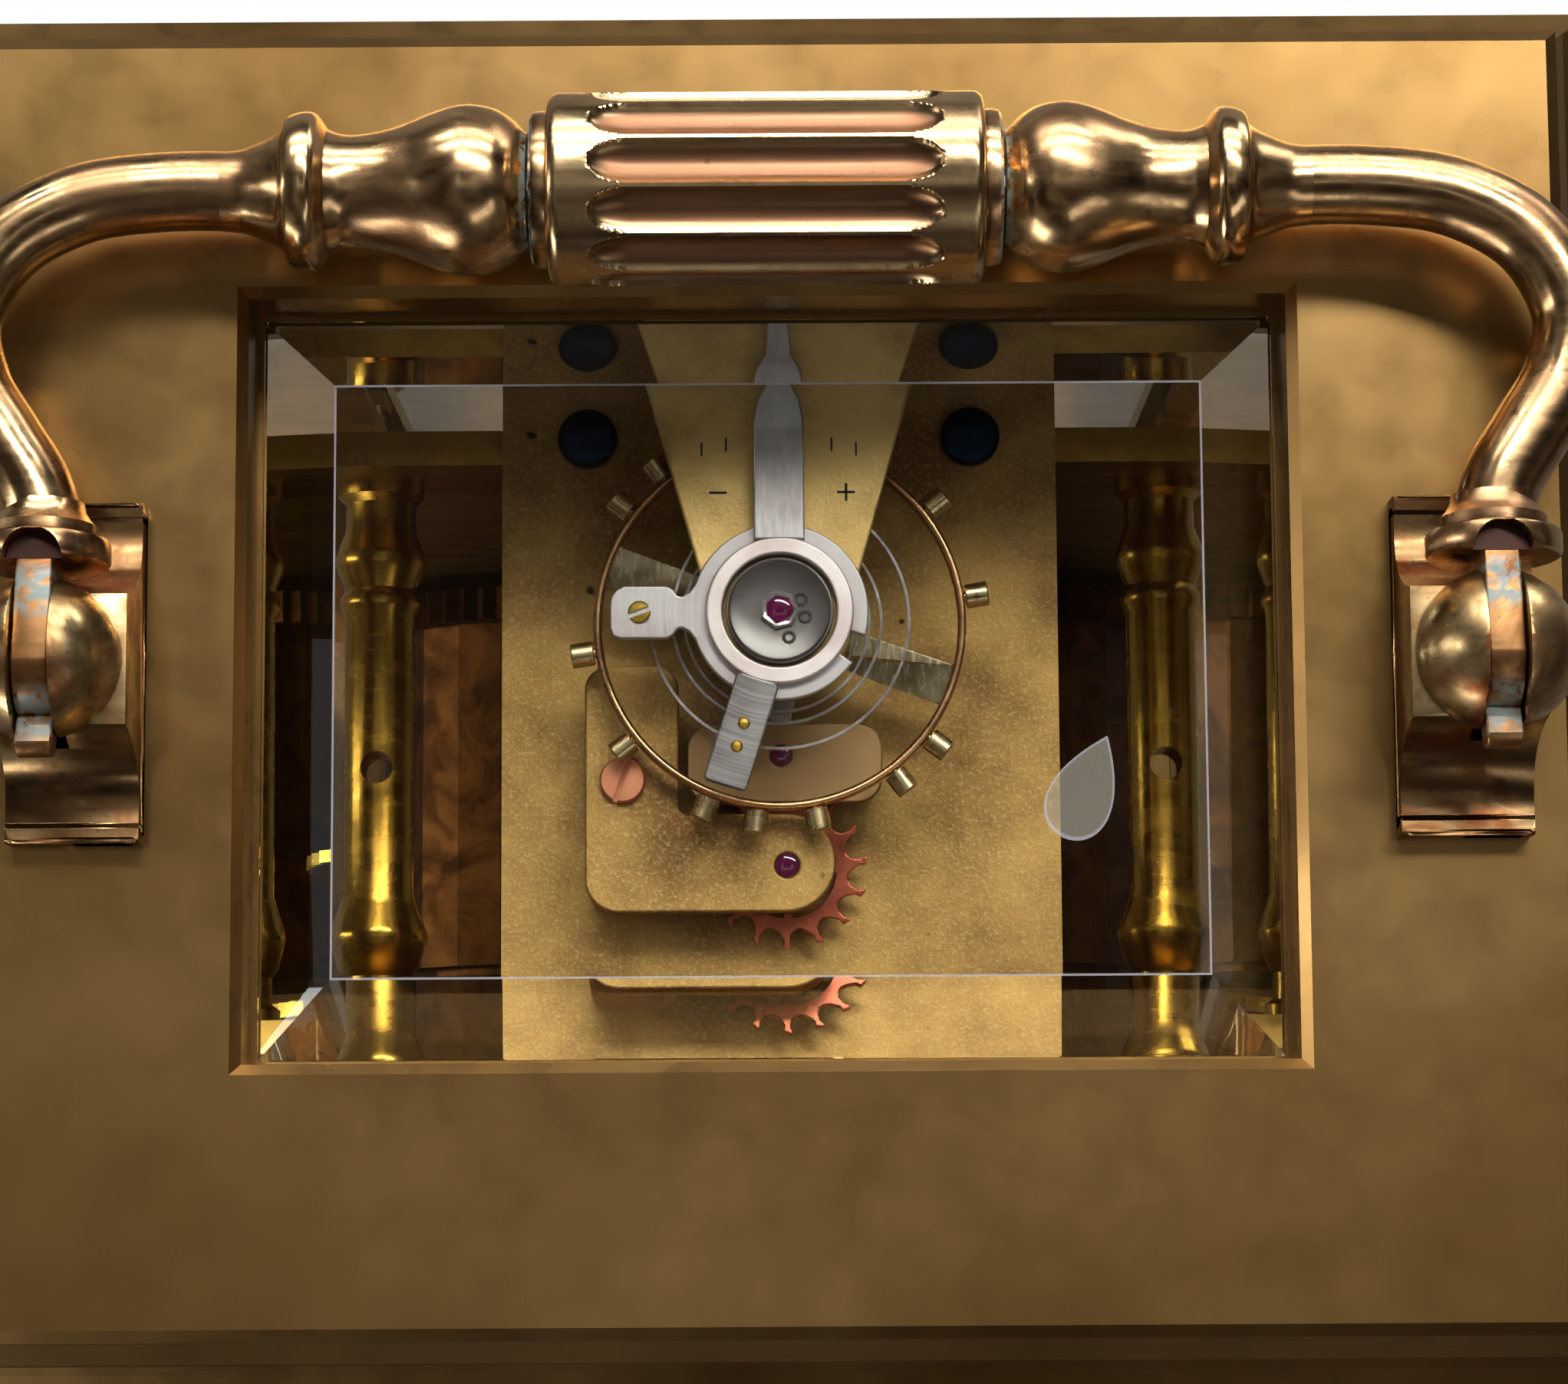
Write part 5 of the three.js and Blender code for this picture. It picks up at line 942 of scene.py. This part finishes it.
def balance_bar():
    """The two arms of the balance in one bar round the staff; one long side of it slopes down to its edge."""
    bx, by = BALANCE
    z, slope_width, slope_depth, hub = BALANCE_Z, 1.1, 0.38, 1.9
    turn = math.radians(-20)
    spin = np.array([[math.cos(turn), math.sin(turn)], [-math.sin(turn), math.cos(turn)]])
    half_bar = [(8.9, -1.05), (8.95, 0.1), (8.9, 1.05), (2.2, 0.95), *arc(0, 0, 1.75, 30, 150, 12)]
    other_half = [(-2.2, 0.95), (-8.9, 1.05), (-8.95, 0.1), (-8.9, -1.05), (-2.2, -0.95),
                  *arc(0, 0, 1.75, 210, 330, 12), (2.2, -0.95)]
    bar = np.array(half_bar + other_half) @ spin + [bx, by]
    mesh = above_platform(plate_mesh("balance_bar", [bar, circle(bx, by, 0.72)], z - 0.5, z - 0.05, 0.06))
    points = points_of(mesh)
    level = (points[:, :2] - [bx, by]) @ spin.T
    drop = np.clip((0.1 - level[:, 1]) / slope_width, 0, 1) * slope_depth * (np.abs(level[:, 0]) > hub)
    points[:, 2] -= drop * (points[:, 2] > PLATFORM_Z + z - 0.3)
    mesh.vertices.foreach_set("co", (points * MM).ravel())
    mesh.update()
    stand_for("balance_wheel", "balance_bar", mesh, BAR_BRASS)


def timing_screws_and_staff():
    """The screws round the rim, and the balance staff with its roller and impulse pin."""
    bx, by = BALANCE
    points, faces = turned([(0, 9.2), (0.25, 9.2), (0.25, 9.36), (0.56, 9.37), (0.61, 9.42), (0.61, 10.44),
                            (0.56, 10.5), (0, 10.5)], 28)
    turns = [angle + half for angle in (38, 8.4, -37.7, -52.6, -79.4, -97.2, -112.3) for half in (0, 180)]
    screws = np.vstack([spun(along_x(points), math.radians(angle)) for angle in turns])
    faces = np.vstack([faces + len(points) * i for i in range(len(turns))])
    placed = screws + [bx, by, PLATFORM_Z + BALANCE_Z]
    surface_for("balance_wheel", "timing_screws", placed, faces, PALE_BRASS)
    staff = [(0, 0.4), (0.2, 0.4), (0.2, 0.9), (0.45, 1.1), (0.45, 2.1), (1.95, 2.1), (2.0, 2.15),
             (2.0, 2.45), (1.95, 2.5), (0.5, 2.5), (0.6, 4.2), (1.1, 4.55), (0.65, 4.55), (0.65, 5.3),
             (0.5, 5.4), (0.5, 6.25), (0.9, 6.3), (0.9, 7.0), (0.4, 7.05), (0.2, 7.3), (0.2, 8.8), (0, 8.8)]
    turned_part("balance_staff", "staff", staff, STEEL, BALANCE, 48)
    turned_part("balance_staff", "impulse_pin", rod(0.2, 1.2, 2.3), RUBY, (bx, by - 1.6), 20)


def hairspring():
    """The spring: a strip along an even spiral of seven turns, whose eighth eases out to the curb pins.

    The radius is the start plus the pitch for each turn; over the first 0.4 of the eighth turn it adds the
    way left to the curb pins times 3 e^2 - 2 e^3, where e goes from 0 to 1.
    """
    bx, by = BALANCE
    start, pitch, pinned, even, steps = 1.25, 0.58, 6.4, 7, 72
    turns = np.linspace(0, even + 1, (even + 1) * steps + 1)
    rise = np.clip((turns - even) / 0.4, 0, 1)
    ease = rise * rise * (3 - 2 * rise)
    radius = start + pitch * np.minimum(turns, even) + (pinned - start - pitch * even) * ease
    a = np.pi + (even + 1 - turns) * 2 * np.pi
    corners = np.array([(-0.07, -0.2), (0.07, -0.2), (0.07, 0.2), (-0.07, 0.2)])
    r = radius[:, None] + corners[None, :, 0]
    height = np.broadcast_to(corners[:, 1] + PLATFORM_Z + 6.65, r.shape)
    points = np.stack([r * np.cos(a)[:, None] + bx, r * np.sin(a)[:, None] + by, height], axis=-1)
    n = len(turns)
    faces = grid_faces(n, 4).tolist() + [[0, 1, 2, 3], [4 * n - 1, 4 * n - 2, 4 * n - 3, 4 * n - 4]]
    surface_for("hairspring", "hairspring_strip", points.reshape(-1, 3), faces, SPRING_STEEL,
                smooth=math.radians(50))


def ring_of(centre, angles, spec):
    """A closed outline round a centre: at each angle, one tooth's (radius, turn from the angle) points."""
    x, y = centre
    points = np.stack([[r * np.cos(angles + k) + x, r * np.sin(angles + k) + y] for r, k in spec])
    return points.transpose(2, 0, 1).reshape(-1, 2)


def escape_wheel():
    """The escape wheel of 15 club teeth with four windows, its arbor, and its pinion of six leaves."""
    ex, ey = ESCAPE
    step = 2 * np.pi / 15
    spec = [(3.05, -0.5), (3.25, -0.28), (3.65, -0.1), (3.95, -0.12), (4.1, 0.1), (4.02, 0.13), (3.7, 0.06),
            (3.3, 0.12), (3.08, 0.3)]
    outlines = [ring_of(ESCAPE, (np.arange(15) + 0.5) * step + np.pi / 2, [(r, k * step) for r, k in spec])]
    for a0 in (0, 90, 180, 270):
        rim_side, hub_side = arc(ex, ey, 2.45, a0 + 5, a0 + 85, 12), arc(ex, ey, 1.0, a0 + 77, a0 + 13, 6)
        outlines.append(np.vstack([rim_side, hub_side]))
    flat_part("escape_wheel", "escape_teeth", outlines, 1.2, 1.65, ROSE_BRASS, 0.05)
    arbor = [(0, -8.6), (0.4, -8.6), (0.4, 2.3), (0.2, 2.35), (0.2, 3.4), (0, 3.4)]
    turned_part("escape_wheel", "escape_arbor", arbor, STEEL, ESCAPE, 24)
    leaves = ring_of((0, 0), (np.arange(6) + 0.5) * np.pi / 3 - np.pi / 2,
                     [(0.95, -0.13), (0.98, 0), (0.95, 0.13), (0.5, np.pi / 6)])
    flat_part("escape_wheel", "escape_pinion", [leaves + [ex, ey]], -8.1, -5.2, STEEL, 0.03)


def escape_bridge():
    """The bent bridge over the escape wheel, on its post, with a jewel and a screw."""
    ex, ey = ESCAPE
    outline = np.vstack([arc(-8.1, 1.0, 1.2, 90, 180, 10), arc(-7.6, -8.5, 1.7, 180, 270, 14),
                         arc(0.75, -7.75, 2.45, -90, 90, 30), [[-4.3, -5.3]], [[-4.6, -5.0]],
                         arc(-5.8, 1.0, 1.2, 0, 90, 10)])
    plate, post = [outline, circle(ex, ey, 0.62)], [rounded(-9.2, -4.8, -10.0, 2.0, 1.1)]
    flat_part("escape_bridge", "bridge_plate", plate, 2.5, 3.6, PLATFORM_GILT, 0.12)
    flat_part("escape_bridge", "bridge_post", post, 0.0, 2.5, PLATFORM_GILT)
    jewel("escape_bridge", "escape_jewel", ex, ey, 3.5, 0.6)
    head = [(0, 3.3), (1.15, 3.3), (1.15, 3.95), (1.05, 4.08), (0, 4.1)]
    turned_part("escape_bridge_screw", "bridge_screw", head, COPPER, (-7.4, -3.6), slot_angle=70)


def lever():
    """The pallet lever with its two stones, fork and arbor, under its own small cock with a jewel."""
    ex, ey = ESCAPE
    cx, cy = PLATFORM_X, LEVER_Y
    plate, post = rounded(-4.2, 5.6, -4.7, -0.7, 1.3), [rounded(4.15, 5.5, -2.8, -0.8, 0.6)]
    flat_part("pallet_cock", "pallet_cock_plate", [plate, circle(cx, cy, 0.55)], 2.2, 3.1, BROWN_GILT, 0.1)
    flat_part("pallet_cock", "pallet_cock_post", post, 0.0, 2.2, BROWN_GILT)
    jewel("pallet_cock", "lever_jewel", cx, cy, 3.0, 0.55)
    reach, fork = 4.45, BALANCE[1] - 2.15
    stones = {k: (ex + k * reach * 0.5, ey + reach * math.cos(math.pi / 6)) for k in (-1, 1)}

    def half_lever(k):
        x, y = stones[k]
        return [[cx + k * 0.3, fork - 0.45], [cx + k * 0.8, fork], [cx + k * 0.8, fork - 0.9],
                [cx + k * 0.35, cy + 1.2], [cx + k * 0.9, cy + 0.3], [x + k * 0.75, y + 0.75],
                [x + k * 0.75, y], [x, y], [x - k * 0.45, y + 0.55], [cx + k * 0.5, cy - 0.6]]

    body = half_lever(1) + half_lever(-1)[::-1]
    flat_part("pallet_lever", "lever_plate", [body], 1.15, 1.65, STEEL, 0.05)
    for k, (x, y) in stones.items():
        middle = x + k * 0.3
        stone = rounded(middle - 0.42, middle + 0.42, y - 0.02, y + 0.5, 0.03, 3)
        flat_part("pallet_lever", f"pallet_stone_{k}", [stone], 1.65, 1.85, RUBY, 0.02)
    turned_part("pallet_lever", "lever_arbor", rod(0.22, 0.4, 2.9), STEEL, (cx, cy), 20)


def platform_screws():
    """The four blued screws that hold the platform down."""
    head = [(0, -4.3), (0.5, -4.3), (0.5, 0), (1.5, 0), (1.52, 0.08), (1.52, 0.62), (1.35, 0.86), (0.9, 0.95),
            (0, 0.95)]
    for end, y in (("back", 14.4), ("front", -16.0)):
        for side, word in SIDES:
            turned_part(f"platform_screw_{end}_{word}", f"plate_screw_{end}_{word}", head, BLUED,
                        (PLATFORM_X + side * 9.8, y), 48, 35 * side)


# Dial and mask
HOURS = ["XII", "I", "II", "III", "IIII", "V", "VI", "VII", "VIII", "IX", "X", "XI"]
STROKES = {"I": [(0, 0, 0.34)], "V": [(-0.42, 0, 0.4), (0.42, 0, 0.2)],
           "X": [(-0.42, 0.42, 0.42), (0.42, -0.42, 0.2)]}
LETTER_WIDTHS = {"I": 0.62, "V": 1.25, "X": 1.3}


def dial_middle():
    """Height of the dial's centre, in millimetres."""
    low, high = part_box("dial")
    return (low[2] + high[2]) / MM / 2


def dial_marks():
    """The enamel dial with Roman hours and a minute track: each stroke is a thin black bar on the face."""
    low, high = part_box("dial")
    face, radius = low[1] / MM, (high[0] - low[0]) / MM / 2
    hole, thickness, play, edge = 3.0, 0.78, 0.02, 0.3
    profile = [(hole, play), (radius - edge, play), (radius, edge), (radius, thickness), (hole, thickness),
               (hole, play)]
    points, faces = turned(profile, 120)
    surface_for("dial", "dial_enamel", along_y(points) + [0, face, dial_middle()], faces, ENAMEL)
    numeral_top, numeral_foot, track_outer, track_inner = 15.3, 12.3, 17.2, 16.4
    strokes = []
    for hour, word in enumerate(HOURS):
        start = -sum(LETTER_WIDTHS[c] for c in word) / 2
        for letter in word:
            at = start + LETTER_WIDTHS[letter] / 2
            start += LETTER_WIDTHS[letter]
            for top, foot, thick in STROKES[letter]:
                strokes.append((math.pi / 2 - hour * math.pi / 6, at + top, numeral_top, at + foot,
                                numeral_foot, thick))
    for minute in range(60):
        thick = 0.34 if minute % 5 == 0 else 0.14
        strokes.append((math.pi / 2 - minute * math.pi / 30, 0, track_outer, 0, track_inner, thick))
    angle, top, outer, foot, inner, thick = np.array(strokes).T
    across = np.stack([top - thick / 2, top + thick / 2, foot + thick / 2, foot - thick / 2])
    along = np.stack([outer, outer, inner, inner])
    x = along * np.cos(angle) + across * np.sin(angle)
    z = along * np.sin(angle) - across * np.cos(angle) + dial_middle()
    y = np.stack([np.full(x.shape, face - 0.01), np.full(x.shape, face + 0.05)])
    marks = np.stack([np.stack([x, x]), y, np.stack([z, z])], axis=-1).transpose(2, 0, 1, 3).reshape(-1, 3)
    quads = np.array([[0, 1, 2, 3], [7, 6, 5, 4], [0, 4, 5, 1], [1, 5, 6, 2], [2, 6, 7, 3], [3, 7, 4, 0]])
    quads = (quads[None] + 8 * np.arange(len(strokes))[:, None, None]).reshape(-1, 4)
    surface_for("dial", "dial_figures", marks, quads, INK)


def scroll(cx, cz, size, turn, sweep):
    """A curled leaf on a spiral whose radius falls by the curl: its half width goes as a sine to the 0.8."""
    curl, fat = 0.55, 0.3
    t = np.linspace(0, 1, 30)
    a = turn + sweep * t
    r = size * (1 - curl * t)
    half = size * fat * np.sin(np.pi * np.minimum(1, 0.04 + 0.96 * t)) ** 0.8
    outer = np.column_stack([cx + (r + half) * np.cos(a), cz + (r + half) * np.sin(a)])
    inner = np.column_stack([cx + (r - half) * np.cos(a), cz + (r - half) * np.sin(a)])
    return np.vstack([outer, inner[::-1]])


# Scrolls of the mask: place from the dial's centre, size, and start and sweep as shares of a half turn
LEAVES = [
    (20.5, 19.5, 3.9, 0.1, 1.25), (12.6, 25.2, 3.6, -0.25, 1.25), (21.4, 29.6, 3.5, -0.7, -1.2),
    (5.2, 31.4, 3.6, 1.1, -1.25), (13.6, 34.6, 3, 0.15, 1.2), (20.5, -19.5, 3.9, -0.1, -1.25),
    (12.6, -25.6, 3.8, 0.25, -1.25), (21.4, -30.6, 3.7, 0.7, 1.2), (5.4, -33.4, 3.9, -1.1, 1.25),
    (14, -38.4, 4.1, 0.2, -1.3), (21.8, -42.6, 3.4, -0.6, 1.2), (5.4, -45.8, 3.9, 1.05, -1.25),
    (14.2, -50, 3.6, 0.1, 1.25)]
PEARLS = [(22.6, 1.3), (38.2, 1.3), (-22.8, 1.4), (-39.6, 1.6), (-53.6, 1.5)]


def fretwork():
    """The pierced mask before the dial: a round opening, with mirrored scrolls, eyes and pearls round it."""
    low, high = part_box("fret_mask")
    middle = dial_middle()
    front, back, half = low[1] / MM, high[1] / MM, high[0] / MM
    sheet = rounded(-half, half, low[2] / MM - middle, high[2] / MM - middle, 0.2, 4)
    outlines = [sheet, circle(0, 0, 19, 160)]
    for x, z, size, turn, sweep in LEAVES:
        leaf = scroll(x, z, size, np.pi * turn, np.pi * sweep)
        eye = circle(x, z, size * 0.13, 20)
        for mirror in (1, -1):
            outlines += [leaf * [mirror, 1], eye * [mirror, 1]]
    outlines += [circle(0, z, r, 32) for z, r in PEARLS]
    flat = plate_mesh("fretwork", outlines, 0, back - front, 0.07)
    points = points_of(flat)[:, [0, 2, 1]] * [1, -1, 1] + [0, back, middle]
    surface_for("fret_mask", "fretwork", points, faces_of(flat), GILT)


# Every piece
grip()
for side, word in SIDES:
    arm(side, word)
    bracket(side, word)
for end in ("front", "back"):
    for side, word in SIDES:
        column(end, word)
top_pane()
cock()
stud_carrier()
regulator()
end_cap()
balance_rim()
balance_bar()
timing_screws_and_staff()
hairspring()
escape_wheel()
escape_bridge()
lever()
platform_screws()
for side, word in SIDES:
    pillar(side, word)
chip()
dial_marks()
fretwork()
bevel_line()


# Floor, lamps and camera
def lamp(name, place, target, width, height, power):
    """A flat white lamp that faces a target point: long narrow ones draw the streaks along the handle."""
    light = bpy.data.lights.new(name, "AREA")
    light.shape = "RECTANGLE"
    light.size = width
    light.size_y = height
    light.energy = power
    obj = link(name, light)
    obj.location = place
    obj.rotation_euler = (Vector(target) - Vector(place)).to_track_quat("-Z", "Y").to_euler()


def floor():
    """A plain pale floor, white to the camera, so that the clock stands on white as in the photograph."""
    mesh = bpy.data.meshes.new("floor")
    mesh.from_pydata([(-3, -3, 0), (3, -3, 0), (3, 3, 0), (-3, 3, 0)], [], [(0, 1, 2, 3)])
    obj = link("floor", mesh)
    f = Finish("white_floor", "#6a655f", roughness=0.8)
    f.instead("Is Camera Ray", f.add("Emission", "Emission", Strength=1.0))
    mesh.materials.append(f.material)


def surroundings():
    """A dim warm room above and around, whose patches the metal mirrors; the camera sees it white."""
    world = bpy.data.worlds.new("room")
    bpy.context.scene.world = world
    world.use_nodes = True
    tree = world.node_tree
    way = add_node(tree, "TexCoord", "Generated")
    patches = add_node(tree, "TexNoise", "Fac", Vector=way, Scale=2.2, Detail=2.0)
    colour = add_node(tree, "ValToRGB", "Color", in_0=patches)
    ramp = colour.node.color_ramp
    shadow, glow = ramp.elements
    shadow.color, shadow.position = (0.006, 0.005, 0.004, 1), 0.38
    glow.color, glow.position = (0.13, 0.115, 0.1, 1), 0.66
    ramp.elements.new(0.5).color = (0.035, 0.026, 0.02, 1)
    seen = add_node(tree, "LightPath", "Is Camera Ray")
    pick = add_node(tree, "Mix", 2, data_type="RGBA", in_0=seen, in_6=colour, in_7=(1, 1, 1, 1))
    back = tree.nodes["Background"].inputs
    feed(tree, back["Color"], pick)
    feed(tree, back["Strength"], 1.0)


def camera():
    """The photograph's camera, 198 mm above the glass, fitted to screws, jewels and glass corners."""
    tilt, roll = math.radians(7.61), math.radians(-0.34)
    forward = Vector((0, math.sin(tilt), -math.cos(tilt)))
    up = Vector((0, math.cos(tilt), math.sin(tilt)))
    right = forward.cross(up)
    right, up = right * math.cos(roll) + up * math.sin(roll), up * math.cos(roll) - right * math.sin(roll)
    data = bpy.data.cameras.new("camera")
    data.sensor_width = 36.0
    data.sensor_fit = "HORIZONTAL"
    focal_pixels, picture_pixels = 5317, 2000
    data.lens = focal_pixels / picture_pixels * data.sensor_width
    data.clip_start = 0.01
    obj = link("camera", data)
    turn = Matrix((right, up, -forward)).transposed().to_4x4()
    obj.matrix_world = Matrix.Translation(Vector((0.69, -26.85, 332.1)) * MM) @ turn
    bpy.context.scene.camera = obj


floor()
surroundings()
camera()
HANDLE_LEVEL, MIDDLE = (0, 0, 0.14), (0, 0, 0.08)
for name, place, target, width, height, power in (
        ("back_high", (0.1, 0.36, 0.75), HANDLE_LEVEL, 0.6, 0.08, 3.9),
        ("back_mid", (0.0, 0.5, 0.52), HANDLE_LEVEL, 0.7, 0.03, 2.3),
        ("back_low", (0.0, 0.6, 0.34), HANDLE_LEVEL, 0.7, 0.03, 1.7),
        ("front", (0.3, -0.45, 0.6), HANDLE_LEVEL, 0.5, 0.15, 0.3),
        ("left", (-0.6, 0.05, 0.3), HANDLE_LEVEL, 0.05, 0.4, 0.6),
        ("face", (-0.55, -0.85, 0.2), MIDDLE, 0.5, 0.3, 2.2),
        ("back_face", (0.6, 0.85, 0.15), MIDDLE, 0.4, 0.3, 1.6)):
    lamp(f"lamp_{name}", place, target, width, height, power)
for name, place, width, height, radiance in (
        ("front", (0.0, -0.04, 0.75), 0.36, 0.05, 0.5), ("back", (0.0, 0.2, 0.75), 0.36, 0.05, 0.14),
        ("left", (-0.145, 0.035, 0.75), 0.05, 0.12, 0.5), ("right", (0.145, 0.035, 0.75), 0.05, 0.12, 0.5)):
    lamp(f"lamp_over_{name}", place, (*place[:2], 0), width, height, math.pi * width * height * radiance)
scene = bpy.context.scene
scene.view_settings.view_transform = "Standard"
scene.render.film_transparent = False
